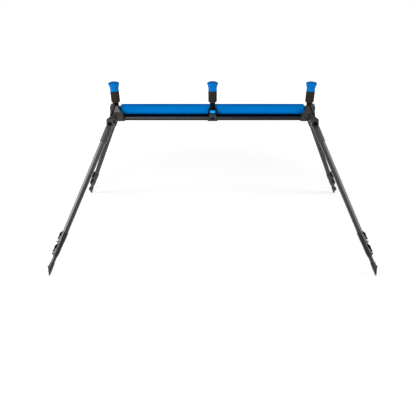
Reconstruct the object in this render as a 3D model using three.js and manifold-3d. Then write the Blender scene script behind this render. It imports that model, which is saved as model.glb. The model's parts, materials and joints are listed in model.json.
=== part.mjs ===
// Pole roller: two foam rollers over a beam, three uprights, and four splayed telescopic legs.
// Millimetres, +Z up, +X along the rollers, -Y is the front, z = 0 is the ground under the feet.
// The frame, one post and one leg are drawn around the roller axis, then raised to their height.
import * as THREE from "three";
import { mergeVertices } from "three/addons/utils/BufferGeometryUtils.js";
import Module from "manifold-3d";

const wasm = await Module();
wasm.setup();

// Gaps
const clearance = 0.3; // between faces that touch, slide or turn on each other
const endPlay = 0.8; // beside a spinning roller tube
const foamGap = 0.9; // round the spinning foam
const cutOverrun = 4; // how far a cutter runs past the face that it opens
const rootOverlap = 2; // how far one form of a casting runs into the next

// Rollers and axle
const foamDiameter = 35;
const foamToPost = 9; // outer end of the foam to the middle of the outer post
const foamMiddleGap = 12;
const foamOuterRounding = 8;
const foamInnerRounding = 4;
const rollerTubeDiameter = 19;
const rollerTubeWall = 1.2;
const rollerTubeOuterReach = 2.5; // tube standing out of the foam
const rollerTubeInnerReach = 1;
const rollerBushLength = 12;
const axleDiameter = 8;
const axleSeatDepth = 14;

// Beam
const beamWidth = 52;
const beamHeight = 13;
const beamWall = 1.6;
const beamRounding = 2.5;
const foamToBeam = 2.5; // under the foam
const beamSeatLength = 28;

// Posts
const postSpacing = 329; // middle of the object to an outer post
const postClearOfFoam = 10.5; // the foam's front to the post's axis
const stalkDiameter = 18;
const stalkCoreDiameter = 14;
const outerSleeveBottom = 32.6; // above the roller axis
const centreSleeveBottom = 33.3;
const sleeveDiameter = 29.2;
const sleeveLength = 37.8;
const sleeveChamfer = 2.2;
const capBottomDiameter = 28.6;
const capWaistDiameter = 28.8;
const capWaistHeight = 7;
const capRimDiameter = 37.4;
const capRimHeight = 23.2;
const capRimBand = 1.7;
const capDomeHeight = 5.8;
const capFlareCurve = 1.7; // power of the flare's curve
const capSocketDepth = 22;
const postPivotDrop = 7; // roller axis down to the outer post's pivot
const postPinDiameter = 6;

// Centre post socket
const spigotDiameter = 12;
const spigotLength = 14;
const spigotPlay = 2; // under the spigot
const housingTop = 12.6; // above the roller axis
const housingDrop = 6; // roller axis down to the housing's underside
const housingFrontReach = 13; // in front of the post's axis
const housingFoamGap = 1.3; // between its back and the foam
const housingBottomHalfWidth = 16.1;
const housingTopHalfWidth = 9.8;
const housingShoulderHalfWidth = 14;
const housingShoulderDrop = 3.6; // under its top

// Buttons
const buttonTravel = 3;
const buttonProud = 3;
const buttonThickness = 5.2;
const buttonRounding = 2.6;
const centreButtonWidth = 17.6;
const centreButtonHeight = 9.2;
const centreButtonDrop = 9.2; // housing's top down to the button's middle
const outerButtonWidth = 13;
const outerButtonHeight = 6.8;

// Centre bracket
const saddleWall = 2.8;
const saddleFloorWall = 1.6; // under the beam
const saddleTopWall = 1.2;
const saddleHalfWidth = 16.2; // at its foot
const saddleWrapHalfWidth = 13.5; // round the beam
const saddleTopHalfWidth = 11.5;
const saddleTopSetBack = 2.5; // behind the housing's front
const saddleFootProud = 0.5; // in front of the housing's front
const saddleShoulderTop = 10; // under the housing, where the flare starts
const saddleShoulderFoot = 16; // under the housing, where the flare ends
const saddleChinRise = 5.5; // front edge above the underside
const saddleLipHeight = 4.4;
const saddleLipProud = 0.9;
const saddleRecessWidth = 13;
const saddleRecessHeight = 5.5;
const saddleRecessDepth = 4;
const saddleRecessRise = 7.4; // front edge up to the recess's middle
const neckPlay = 1; // beside the roller tubes
const axleBossDiameter = 18;

// End brackets
const bracketFloorWall = 1.4; // under the beam's end
const bracketChinRise = 6.4; // cheek's lower front edge above the underside
const bracketSideWall = 3.2;
const bracketInnerReach = 24; // post's axis in to the bracket's inner end
const bracketFrontReach = 18; // post's axis forward to the cheek's front face
const bracketWallLedge = 2.7; // flat top of the outer wall
const bracketWallFlare = 10; // outer wall's foot out from its top
const bracketFlareTop = 3; // height where it starts to flare
const bracketShoulder = 7.6; // 45 degree chamfer that carries the button
const bracketWallTop = 27.5;
const bracketWallSetBack = 1; // rear band's face back to the wall's edge
const postPinCover = 3; // cheek in front of the post's pin
const flangeSetBack = 3; // wall's front flange behind the cheek's front face
const flangeTopReach = 0.5; // post's axis out to the flange's upper corner
const flangeFootWidth = 3.6; // flange's lower end
const flangeFoot = 11.4; // roller axis down to that corner
const bracketWallBack = 14;
const cheekTop = 4;
const cheekRidgeProud = 1; // cheek's top edge in front of the bracket's front
const cheekSetBack = 1.2; // cheek's foot behind it
const cheekShoulderDrop = 3.5; // cheek's top down to its inner corner
const bandLean = 0.8; // band's top edge behind its lower edge
const cheekOuterReach = 7; // post's axis out to the cheek's upper corner
const cheekFootReach = 14; // post's axis out to the cheek's corner on the band
const cheekInnerReach = 22.7; // post's axis in to the band's inner edge
const bandDrop = 10.5; // roller axis down to the band's top
const gussetFootReach = 17; // post's axis in to the gusset's foot
const gussetApexReach = 2.5; // post's axis in to the gusset's apex
const gussetApexHeight = 23;
const gussetApexHalfWidth = 3;
const gussetApexThickness = 2.2; // left of the front cheek at its gusset's apex
const backCheekThickness = 5;
const backCheekTop = 8;
const rearCheekTop = -2;
const axleWebHalfWidth = 7;

// Leg pivot
const legPivotReach = 19.6; // post's axis out to the pivot
const legPivotFrontReach = 15.7; // cheek's front face forward to the pivot
const legPivotDrop = 34.7;
const legSplayAlong = 26.2; // degrees, seen from the front
const legSplayAcross = 27.4; // degrees, seen from the side
const pivotPinDiameter = 8;
const pivotHeadDiameter = 11;
const pivotHeadHeight = 1.6;
const tongueThickness = 12;
const tongueRadius = 12.5;
const forkCheekThickness = 4.5;
const forkCheekRadius = 11;
const pivotGrooveWidth = 1.8; // round the pivot's head
const pivotGrooveDepth = 2;
const tongueToWeb = 0.8; // between the tongue and the web that the leg's shoulder meets
const forkOuterHalfWidth = 11.5; // pivot out to the web's lower corner
const forkInnerHalfWidth = 18; // pivot in to the web's lower corner
const forkLedge = 4; // web's lower edge, where its outer side turns inward
const forkLedgeReach = 9.5; // pivot out to the top of that edge
const forkArmRise = 24; // web's underside up to its top
const forkArmReach = 12.5; // pivot in to the top's outer corner
const forkArmWidth = 3; // web's top

// Leg tubes, six sided, sizes across flats
const outerTubeFlats = 17.4;
const tubeWall = 0.8;
const tubeRounding = 1.6;
const socketFlats = 22;
const socketRounding = 3;
const socketTop = 13; // pivot down to the socket's top face
const socketLength = 53;
const socketCapThickness = 7;
const socketPlugLength = 20;
const neckHalfWidth = 10;
const outerTubeEnd = 440; // pivot down to the tube's lower end
const clampSeatLength = 37;
const clampTaperStart = 25;
const clampWall = 1.3;
const innerTubeReach = 36; // out of the lower clamp

// Clamp levers
const leverPivotBelow = 11; // clamp's top face down to the lever's pin
const leverLength = 22;
const leverThickness = 4.2;
const leverWidth = 10;
const leverLipReach = 1.6;
const leverLipLength = 4;
const leverPinDiameter = 2.6;
const lugThickness = 2.6;
const lugLength = 12;
const clampBossDiameter = 6;
const clampBossWidth = 13;
const clampBossToEnd = 3.5; // boss down to the clamp's lower face
const upperBossGap = 4.2; // lever's tip down to the boss
const lowerBossGap = 1.5;
const clampBossProud = 3.6; // out of the clamp's flat

// Feet
const footCollarLength = 20;
const footCollarWall = 1.1;
const footSeatLength = 10;
const footLipReach = 3;
const footLipLength = 7;
const footSpikeLength = 30;
const footSpikeThickness = 14;
const footTipThickness = 6;
const footTipWidth = 2;
const footTipCut = 1.6; // blunting that gives the foot its flat

// Facets
const roundSides = 24;
const smallSides = 12;
const filletSteps = 3;
const flareSteps = 4;
const hexCornerSteps = 1;

// Finishes
const finish = (color, roughness, metalness) =>
  new THREE.MeshStandardMaterial({ color, roughness, metalness });
const blueFoam = () => finish(0x006fc3, 0.75, 0);
const blackFoam = () => finish(0x322d28, 0.9, 0);
const blueRubber = () => finish(0x056fc0, 0.5, 0);
const brightBlue = () => finish(0x009bf4, 0.35, 0);
const blackPlastic = () => finish(0x141413, 0.45, 0);
const greyCasting = () => finish(0x504e4a, 0.5, 0.1);
const greyAluminium = () => finish(0x75786f, 0.35, 0.8);
const darkAluminium = () => finish(0x4e4e4b, 0.3, 0.8);
const steel = () => finish(0xa8a8a4, 0.3, 1);

// Places that follow the rollers and the posts, from the middle of the object
const beamTopDrop = foamDiameter / 2 + foamToBeam;
const postForward = foamDiameter / 2 + postClearOfFoam;
const pocketReach = stalkDiameter / 2 + clearance;
const housingFront = postForward + housingFrontReach;
const saddleFrontTop = housingFront - saddleTopSetBack;
const saddleFrontBottom = housingFront + saddleFootProud;
const neckThickness = foamMiddleGap - 2 * (rollerTubeInnerReach + neckPlay);
const foamOuterEnd = postSpacing - foamToPost;
const bracketInnerEnd = postSpacing - bracketInnerReach;
const bracketOuterTop = postSpacing + pocketReach + bracketWallLedge + bracketShoulder;
const bracketOuterBottom = bracketOuterTop + bracketWallFlare;
const bracketFront = postForward + bracketFrontReach;
const cheekRidge = bracketFront + cheekRidgeProud;
const cheekFoot = bracketFront - cheekSetBack;
const cheekInnerEdge = postSpacing - cheekInnerReach;
const gussetApexAcross = postSpacing - gussetApexReach;
const legPivotAcross = postSpacing + legPivotReach;
const legPivotForward = bracketFront + legPivotFrontReach;
const forkStop = tongueRadius + tongueToWeb; // pivot up to the web

// Directions at the front left leg
const xAxis = new THREE.Vector3(1, 0, 0);
const yAxis = new THREE.Vector3(0, 1, 0);
const zAxis = new THREE.Vector3(0, 0, 1);
const splayAlong = THREE.MathUtils.degToRad(legSplayAlong);
const splayAcross = THREE.MathUtils.degToRad(legSplayAcross);
const legDown = new THREE.Vector3(-Math.tan(splayAlong), -Math.tan(splayAcross), -1).normalize();
const foldAxis = new THREE.Vector3().crossVectors(legDown, xAxis).normalize();
const legInward = new THREE.Vector3().crossVectors(foldAxis, legDown);
const forkUp = new THREE.Vector3().crossVectors(foldAxis, xAxis);
const pivotPoint = new THREE.Vector3(-legPivotAcross, -legPivotForward, -legPivotDrop);

// The leg's frame has its x inward, its y toward the beam and its z up the leg.
// The fork's frame shares its y, but its x runs along the beam.
const legFrame = new THREE.Matrix4()
  .makeBasis(legInward, foldAxis.clone().negate(), legDown.clone().negate())
  .setPosition(pivotPoint);
const forkFrame = new THREE.Matrix4()
  .makeBasis(xAxis, foldAxis.clone().negate(), forkUp)
  .setPosition(pivotPoint);
const forkInLeg = legFrame.clone().invert().multiply(forkFrame);

// Solid helpers
function solid(geometry) {
  const bare = geometry.clone();
  bare.deleteAttribute("normal");
  bare.deleteAttribute("uv");
  const merged = mergeVertices(bare);
  return new wasm.Manifold(
    new wasm.Mesh({
      numProp: 3,
      vertProperties: merged.attributes.position.array,
      triVerts: new Uint32Array(merged.index.array),
    }),
  );
}

const join = (...solids) => solids.reduce((sum, next) => sum.add(next));
const cut = (body, ...tools) => tools.reduce((rest, tool) => rest.subtract(tool), body);
const moved = (body, matrix) => body.transform(matrix.elements);
const shifted = (body, x, y, z) => moved(body, new THREE.Matrix4().makeTranslation(x, y, z));

function toGeometry(body) {
  const mesh = body.getMesh();
  return new THREE.BufferGeometry()
    .setAttribute("position", new THREE.BufferAttribute(mesh.vertProperties, 3))
    .setIndex(new THREE.BufferAttribute(mesh.triVerts, 1))
    .toNonIndexed();
}

function piece(name, body, material) {
  const geometry = toGeometry(body);
  geometry.computeVertexNormals();
  const mesh = new THREE.Mesh(geometry, material);
  mesh.name = name;
  return mesh;
}

// A block between two corners, given in any order.
function block(x0, x1, y0, y1, z0, z1) {
  const geometry = new THREE.BoxGeometry(Math.abs(x1 - x0), Math.abs(y1 - y0), Math.abs(z1 - z0));
  geometry.translate((x0 + x1) / 2, (y0 + y1) / 2, (z0 + z1) / 2);
  return solid(geometry);
}

// A round bar along an axis between two places on it.
function bar(axis, diameter, from, to, sides = smallSides) {
  const geometry = new THREE.CylinderGeometry(diameter / 2, diameter / 2, Math.abs(to - from), sides);
  geometry.translate(0, (from + to) / 2, 0);
  if (axis === xAxis) geometry.rotateZ(-Math.PI / 2);
  if (axis === zAxis) geometry.rotateX(Math.PI / 2);
  return solid(geometry);
}

// A profile of radius and height points turned about z.
function turned(profile, sides = roundSides) {
  const points = profile.map(([radius, height]) => new THREE.Vector2(radius, height));
  const geometry = new THREE.LatheGeometry(points, sides);
  geometry.rotateX(Math.PI / 2);
  return solid(geometry);
}

// The same profile turned about x, its heights laid along x.
const zToX = new THREE.Matrix4().makeRotationY(Math.PI / 2);
const turnedAlong = (profile) => moved(turned(profile), zToX);

const outline = (points) => new THREE.Shape(points.map(([x, y]) => new THREE.Vector2(x, y)));

function extruded(shape, depth) {
  return solid(new THREE.ExtrudeGeometry(shape, { depth, bevelEnabled: false, curveSegments: filletSteps }));
}

// An outline in x and z, extruded along y between two places.
function plateAcross(points, y0, y1) {
  const lying = extruded(outline(points), Math.abs(y1 - y0));
  const turn = new THREE.Matrix4().makeRotationX(Math.PI / 2).setPosition(0, Math.max(y0, y1), 0);
  return moved(lying, turn);
}

// An outline in y and z, extruded along x between two places.
function plateAlong(points, x0, x1) {
  const lying = extruded(outline(points), Math.abs(x1 - x0));
  const turn = new THREE.Matrix4().makeBasis(yAxis, zAxis, xAxis).setPosition(Math.min(x0, x1), 0, 0);
  return moved(lying, turn);
}

function roundedRectangle(width, height, radius) {
  const shape = new THREE.Shape();
  const x = width / 2;
  const y = height / 2;
  shape.moveTo(radius - x, -y);
  shape.lineTo(x - radius, -y);
  shape.absarc(x - radius, radius - y, radius, -Math.PI / 2, 0, false);
  shape.absarc(x - radius, y - radius, radius, 0, Math.PI / 2, false);
  shape.absarc(radius - x, y - radius, radius, Math.PI / 2, Math.PI, false);
  shape.absarc(radius - x, radius - y, radius, Math.PI, 1.5 * Math.PI, false);
  return shape;
}

// A six sided outline with rounded corners and its flats on the x axis.
function hexOutline(flats, rounding) {
  const points = [];
  const reach = (flats / 2 - rounding) / Math.cos(Math.PI / 6);
  for (let corner = 0; corner < 6; corner++) {
    const middle = Math.PI / 6 + (corner * Math.PI) / 3;
    for (let step = 0; step <= hexCornerSteps; step++) {
      const angle = middle - Math.PI / 6 + (step * Math.PI) / 3 / hexCornerSteps;
      points.push([
        reach * Math.cos(middle) + rounding * Math.cos(angle),
        reach * Math.sin(middle) + rounding * Math.sin(angle),
      ]);
    }
  }
  return outline(points);
}

// A six sided bar from one depth down the leg to another.
function hexBar(flats, rounding, from, to) {
  return shifted(extruded(hexOutline(flats, rounding), to - from), 0, 0, -to);
}

// A six sided solid turned from rings of width across flats and depth down the leg.
function hexTurned(rings) {
  return turned(rings.map(([flats, depth]) => [flats / Math.sqrt(3), -depth]), 6);
}

const hexTube = (flats, from, to) =>
  cut(
    hexBar(flats, tubeRounding, from, to),
    hexBar(flats - 2 * tubeWall, tubeRounding - tubeWall, from - cutOverrun, to + cutOverrun),
  );

// Rollers
const beamTop = -beamTopDrop;
const beamBottom = beamTop - beamHeight;
const foamInnerEnd = foamMiddleGap / 2;

function foamRoller() {
  const outside = foamDiameter / 2;
  const inside = rollerTubeDiameter / 2 + clearance;
  const profile = [[inside, foamInnerEnd]];
  for (let step = 0; step <= filletSteps; step++) {
    const angle = (step / filletSteps) * (Math.PI / 2);
    profile.push([
      outside - foamInnerRounding * (1 - Math.sin(angle)),
      foamInnerEnd + foamInnerRounding * (1 - Math.cos(angle)),
    ]);
  }
  for (let step = 0; step <= filletSteps; step++) {
    const angle = (step / filletSteps) * (Math.PI / 2);
    profile.push([
      outside - foamOuterRounding * (1 - Math.cos(angle)),
      foamOuterEnd - foamOuterRounding * (1 - Math.sin(angle)),
    ]);
  }
  profile.push([inside, foamOuterEnd], [inside, foamInnerEnd]);
  return turnedAlong(profile);
}

function rollerTube() {
  const outside = rollerTubeDiameter / 2;
  const bore = outside - rollerTubeWall;
  const seat = axleDiameter / 2 + clearance;
  const near = foamInnerEnd - rollerTubeInnerReach;
  const far = foamOuterEnd + rollerTubeOuterReach;
  return turnedAlong([
    [outside, near],
    [outside, far],
    [seat, far],
    [seat, far - rollerBushLength],
    [bore, far - rollerBushLength],
    [bore, near + rollerBushLength],
    [seat, near + rollerBushLength],
    [seat, near],
    [outside, near],
  ]);
}

const axleBossFace = foamOuterEnd + rollerTubeOuterReach + endPlay;
const axleEnd = axleBossFace + axleSeatDepth;
const axle = () => bar(xAxis, axleDiameter, -axleEnd, axleEnd);
const axleHole = (from, to) => bar(xAxis, axleDiameter + 2 * clearance, from, to);

// Beam
const beamEnd = bracketInnerEnd + beamSeatLength;

function beamSolid(growth, end) {
  const shape = roundedRectangle(beamWidth + growth, beamHeight + growth, beamRounding);
  const turn = new THREE.Matrix4()
    .makeBasis(yAxis, zAxis, xAxis)
    .setPosition(-end, 0, (beamTop + beamBottom) / 2);
  return moved(extruded(shape, 2 * end), turn);
}

const beam = () => cut(beamSolid(0, beamEnd), beamSolid(-2 * beamWall, beamEnd + cutOverrun));

// Posts, drawn on their own axis with the sleeve's underside at height zero
function stalkTop() {
  return bar(zAxis, stalkCoreDiameter, -rootOverlap, sleeveLength + capSocketDepth, roundSides);
}

function postSleeve() {
  const inside = stalkCoreDiameter / 2 + clearance;
  const outside = sleeveDiameter / 2;
  return turned([
    [inside, clearance],
    [outside - sleeveChamfer, clearance],
    [outside, clearance + sleeveChamfer],
    [outside, sleeveLength],
    [inside, sleeveLength],
    [inside, clearance],
  ]);
}

// The cap flares in a hollow curve from its waist to the rim and ends in a low dome.
function postCap() {
  const bottom = sleeveLength + clearance;
  const bore = stalkCoreDiameter / 2 + clearance;
  const rim = capRimDiameter / 2;
  const waist = capWaistDiameter / 2;
  const profile = [
    [0, bottom + capSocketDepth],
    [bore, bottom + capSocketDepth],
    [bore, bottom],
    [capBottomDiameter / 2, bottom],
  ];
  for (let step = 0; step <= flareSteps; step++) {
    const share = step / flareSteps;
    profile.push([
      waist + (rim - waist) * share ** capFlareCurve,
      bottom + capWaistHeight + (capRimHeight - capWaistHeight) * share,
    ]);
  }
  for (let step = 0; step < filletSteps; step++) {
    const angle = (step / filletSteps) * (Math.PI / 2);
    profile.push([
      rim * Math.cos(angle),
      bottom + capRimHeight + capRimBand + capDomeHeight * Math.sin(angle),
    ]);
  }
  profile.push([0, bottom + capRimHeight + capRimBand + capDomeHeight]);
  return turned(profile);
}

// The outer stalk ends in a round knuckle on its pivot pin.
function outerStalk() {
  const toPivot = outerSleeveBottom + postPivotDrop;
  const shaft = bar(zAxis, stalkDiameter, -toPivot, 0, roundSides);
  const drum = bar(yAxis, stalkDiameter, -stalkDiameter / 2, stalkDiameter / 2, roundSides);
  const round = bar(zAxis, stalkDiameter, -toPivot - stalkDiameter, 0, roundSides);
  const knuckle = shifted(drum, 0, 0, -toPivot).intersect(round);
  const pinHole = bar(yAxis, postPinDiameter + 2 * clearance, -stalkDiameter, stalkDiameter);
  return cut(join(shaft, knuckle, stalkTop()), shifted(pinHole, 0, 0, -toPivot));
}

// The centre stalk stands on its housing and ends in a thinner spigot.
function centreStalk() {
  const seat = centreSleeveBottom - housingTop - clearance;
  const shaft = bar(zAxis, stalkDiameter, -seat, 0, roundSides);
  const spigot = bar(zAxis, spigotDiameter, -seat - spigotLength, 0, roundSides);
  return join(shaft, spigot, stalkTop());
}

// Buttons, drawn with their outer face at height zero and pressed along -z
const buttonSolid = (width, height) =>
  shifted(extruded(roundedRectangle(width, height, buttonRounding), buttonThickness), 0, 0, -buttonThickness);

function buttonPocket(width, height) {
  const shape = roundedRectangle(width + 2 * clearance, height + 2 * clearance, buttonRounding + clearance);
  const depth = buttonThickness + buttonTravel + clearance - buttonProud;
  return shifted(extruded(shape, depth + cutOverrun), 0, 0, -buttonProud - depth);
}

const centreButtonPlace = new THREE.Matrix4()
  .makeBasis(xAxis, zAxis, yAxis.clone().negate())
  .setPosition(0, -housingFront - buttonProud, housingTop - centreButtonDrop);

// The outer button looks outward and up from the middle of the bracket's shoulder.
const shoulderNormal = new THREE.Vector3(-1, 0, 1).normalize();
const towardFront = yAxis.clone().negate();
const upShoulder = new THREE.Vector3().crossVectors(shoulderNormal, towardFront);
const outerButtonPlace = new THREE.Matrix4()
  .makeBasis(towardFront, upShoulder, shoulderNormal)
  .setPosition(
    -bracketOuterTop + bracketShoulder / 2 + buttonProud * shoulderNormal.x,
    -postForward,
    bracketWallTop - bracketShoulder / 2 + buttonProud * shoulderNormal.z,
  );

// Centre bracket: a saddle on the beam, a neck between the rollers, and a front that carries the post housing
const saddleTop = beamTop + saddleTopWall;
const saddleBottom = beamBottom - saddleFloorWall;
const saddleChin = saddleBottom + saddleChinRise;
const saddleHalfDepth = beamWidth / 2 + saddleWall;

function centreBracket() {
  const wrap = block(
    -saddleWrapHalfWidth,
    saddleWrapHalfWidth,
    -saddleHalfDepth,
    saddleHalfDepth,
    saddleBottom,
    saddleTop,
  );
  const frontTop = -housingDrop - clearance;
  const frontFace = plateAcross(
    [
      [-saddleTopHalfWidth, frontTop],
      [-saddleTopHalfWidth, frontTop - saddleShoulderTop],
      [-saddleHalfWidth, frontTop - saddleShoulderFoot],
      [-saddleHalfWidth, saddleBottom],
      [saddleHalfWidth, saddleBottom],
      [saddleHalfWidth, frontTop - saddleShoulderFoot],
      [saddleTopHalfWidth, frontTop - saddleShoulderTop],
      [saddleTopHalfWidth, frontTop],
    ],
    -saddleFrontBottom,
    -foamDiameter / 2,
  );
  const frontSlope = plateAlong(
    [
      [-saddleFrontTop, frontTop],
      [-saddleFrontBottom, saddleChin],
      [-saddleHalfDepth, saddleBottom],
      [-saddleHalfDepth + saddleWall, saddleBottom],
      [-foamDiameter / 2 - clearance - foamInnerRounding, saddleTop],
      [-foamDiameter / 2 - clearance - foamInnerRounding, frontTop],
    ],
    -saddleHalfWidth,
    saddleHalfWidth,
  );
  const lip = plateAlong(
    [
      [-saddleFrontBottom - saddleLipProud, saddleChin],
      [-saddleHalfDepth, saddleBottom],
      [-saddleHalfDepth + saddleWall, saddleBottom],
      [-saddleHalfDepth + saddleWall, saddleChin + saddleLipHeight],
      [-saddleFrontBottom - saddleLipProud, saddleChin + saddleLipHeight],
    ],
    -saddleHalfWidth - saddleLipProud,
    saddleHalfWidth + saddleLipProud,
  );
  const recess = block(
    -saddleRecessWidth / 2,
    saddleRecessWidth / 2,
    -saddleFrontBottom - cutOverrun,
    -saddleFrontTop + saddleRecessDepth,
    saddleChin + saddleRecessRise - saddleRecessHeight / 2,
    saddleChin + saddleRecessRise + saddleRecessHeight / 2,
  );
  const neck = block(
    -neckThickness / 2,
    neckThickness / 2,
    -axleBossDiameter / 2,
    axleBossDiameter / 2,
    beamTop,
    0,
  );
  const boss = bar(xAxis, axleBossDiameter, -neckThickness / 2, neckThickness / 2, roundSides);
  const body = join(wrap, frontFace.intersect(frontSlope), lip, neck, boss);
  return cut(
    body,
    recess,
    axleHole(-neckThickness, neckThickness),
    beamSolid(2 * clearance, saddleHalfWidth + cutOverrun),
  );
}

function centreHousing() {
  const body = plateAcross(
    [
      [-housingBottomHalfWidth, -housingDrop],
      [housingBottomHalfWidth, -housingDrop],
      [housingShoulderHalfWidth, housingTop - housingShoulderDrop],
      [housingTopHalfWidth, housingTop],
      [-housingTopHalfWidth, housingTop],
      [-housingShoulderHalfWidth, housingTop - housingShoulderDrop],
    ],
    -housingFront,
    -foamDiameter / 2 - housingFoamGap,
  );
  const spigotHole = shifted(
    bar(zAxis, spigotDiameter + 2 * clearance, -spigotLength - spigotPlay, cutOverrun, roundSides),
    0,
    -postForward,
    housingTop,
  );
  const pocket = moved(buttonPocket(centreButtonWidth, centreButtonHeight), centreButtonPlace);
  return cut(body, spigotHole, pocket);
}

// End bracket on the left, with a fork for each leg and the outer post's pocket at the front
const pocketOuter = postSpacing + pocketReach;
const pocketFront = postForward + pocketReach;
const pocketBack = postForward - pocketReach;
const pocketFloor = -postPivotDrop - pocketReach;
const bracketBottom = beamBottom - clearance - bracketFloorWall;
const beamSeatHalfDepth = beamWidth / 2 + clearance + bracketSideWall;

function outerWall() {
  const edge = bracketFront - bracketWallSetBack;
  const shoulderFoot = bracketWallTop - bracketShoulder;
  const seenFromFront = plateAcross(
    [
      [-pocketOuter, bracketBottom],
      [-pocketOuter, bracketWallTop],
      [-bracketOuterTop + bracketShoulder, bracketWallTop],
      [-bracketOuterTop, shoulderFoot],
      [-bracketOuterTop, bracketFlareTop],
      [-bracketOuterBottom, bracketBottom],
    ],
    -edge,
    edge,
  );
  const seenFromSide = plateAlong(
    [
      [-pocketFront, bracketBottom],
      [edge, bracketBottom],
      [edge, -bandDrop],
      [axleBossDiameter / 2, axleBossDiameter / 2],
      [-axleBossDiameter / 2, axleBossDiameter / 2],
      [-bracketWallBack, bracketWallTop],
      [-pocketFront, bracketWallTop],
    ],
    -bracketOuterBottom,
    -pocketOuter,
  );
  // The wall's front flange narrows downward beside the gusset.
  const flareShare = (bracketFlareTop + flangeFoot) / (bracketFlareTop - bracketBottom);
  const flangeFootOuter = bracketOuterTop + bracketWallFlare * flareShare;
  const flange = plateAcross(
    [
      [-bracketOuterTop + bracketShoulder, bracketWallTop],
      [-postSpacing - flangeTopReach, bracketWallTop],
      [-flangeFootOuter + flangeFootWidth, -flangeFoot],
      [-flangeFootOuter, -flangeFoot],
      [-bracketOuterTop, bracketFlareTop],
      [-bracketOuterTop, shoulderFoot],
    ],
    -bracketFront + flangeSetBack,
    -pocketFront + rootOverlap,
  );
  return join(seenFromFront.intersect(seenFromSide), flange);
}

// The band round the beam's end rises to a chin at the front, under the cheek.
function band() {
  const inside = -beamSeatHalfDepth + rootOverlap;
  const seenFromFront = plateAcross(
    [
      [-postSpacing - cheekFootReach, -bandDrop],
      [-bracketOuterBottom, bracketBottom],
      [-cheekInnerEdge, bracketBottom],
      [-cheekInnerEdge, -bandDrop],
    ],
    -bracketFront,
    inside,
  );
  const seenFromSide = plateAlong(
    [
      [-bracketFront + bandLean, -bandDrop],
      [-bracketFront, bracketBottom + bracketChinRise],
      [-beamSeatHalfDepth, bracketBottom],
      [inside, bracketBottom],
      [inside, -bandDrop],
    ],
    -bracketOuterBottom,
    -cheekInnerEdge,
  );
  return seenFromFront.intersect(seenFromSide);
}

// The cheek's face leans out from the band to a ridge along its top.
function cheek(inside) {
  const root = -bandDrop - rootOverlap;
  const seenFromFront = plateAcross(
    [
      [-postSpacing - cheekOuterReach, cheekTop],
      [-postSpacing - cheekFootReach, -bandDrop],
      [-postSpacing - cheekFootReach, root],
      [-cheekInnerEdge, root],
      [-cheekInnerEdge, cheekTop - cheekShoulderDrop],
      [-postSpacing + gussetFootReach, cheekTop],
    ],
    -cheekRidge,
    -inside,
  );
  const seenFromSide = plateAlong(
    [
      [-cheekRidge, cheekTop],
      [-cheekFoot, -bandDrop],
      [-cheekFoot, root],
      [-inside, root],
      [-inside, cheekTop],
    ],
    -bracketOuterBottom,
    -cheekInnerEdge,
  );
  return seenFromFront.intersect(seenFromSide);
}

// The triangular gusset on the front cheek leans back to its apex.
function gusset() {
  const root = cheekTop - rootOverlap;
  const rootFace = -cheekRidge + rootOverlap;
  const apexFace = -pocketFront - gussetApexThickness;
  const seenFromFront = plateAcross(
    [
      [-postSpacing - cheekOuterReach, cheekTop],
      [-postSpacing - cheekOuterReach, root],
      [-postSpacing + gussetFootReach, root],
      [-postSpacing + gussetFootReach, cheekTop],
      [-gussetApexAcross + gussetApexHalfWidth, gussetApexHeight],
      [-gussetApexAcross - gussetApexHalfWidth, gussetApexHeight],
    ],
    -cheekRidge,
    -pocketFront,
  );
  const seenFromSide = plateAlong(
    [
      [-cheekRidge, cheekTop],
      [rootFace, root],
      [-pocketFront, root],
      [-pocketFront, gussetApexHeight],
      [apexFace, gussetApexHeight],
    ],
    -bracketOuterBottom,
    -cheekInnerEdge,
  );
  return seenFromFront.intersect(seenFromSide);
}

// Two teardrop cheeks under a web, joined by the pivot pin, in the fork's own frame.
function legFork() {
  const inside = tongueThickness / 2 + clearance;
  const outside = inside + forkCheekThickness;
  const cheekPlates = [-1, 1].map((side) => {
    const from = side * inside;
    const to = side * outside;
    const disc = bar(yAxis, 2 * forkCheekRadius, from, to, roundSides);
    const tear = plateAcross(
      [
        [-forkCheekRadius, 0],
        [forkCheekRadius, 0],
        [forkOuterHalfWidth, forkStop],
        [forkOuterHalfWidth, forkStop + rootOverlap],
        [-forkOuterHalfWidth, forkStop + rootOverlap],
        [-forkOuterHalfWidth, forkStop],
      ],
      from,
      to,
    );
    const head = bar(yAxis, pivotHeadDiameter, from, to + side * pivotHeadHeight);
    const grooveDiameter = pivotHeadDiameter + 2 * pivotGrooveWidth;
    const groove = bar(yAxis, grooveDiameter, to - side * pivotGrooveDepth, to + side * cutOverrun);
    return join(cut(join(disc, tear), groove), head);
  });
  const webFromFront = plateAcross(
    [
      [-forkOuterHalfWidth, forkStop],
      [forkInnerHalfWidth, forkStop],
      [forkArmReach + forkArmWidth, forkStop + forkArmRise],
      [forkArmReach, forkStop + forkArmRise],
      [-forkLedgeReach, forkStop + forkLedge],
    ],
    -outside,
    outside,
  );
  const webFromSide = plateAlong(
    [
      [-outside, forkStop],
      [-outside, forkStop + forkLedge],
      [0, forkStop + forkArmRise],
      [outside, forkStop + forkArmRise],
      [outside, forkStop],
    ],
    -forkOuterHalfWidth,
    forkInnerHalfWidth,
  );
  const pin = bar(yAxis, pivotPinDiameter, -outside, outside);
  return join(...cheekPlates, webFromFront.intersect(webFromSide), pin);
}

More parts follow.
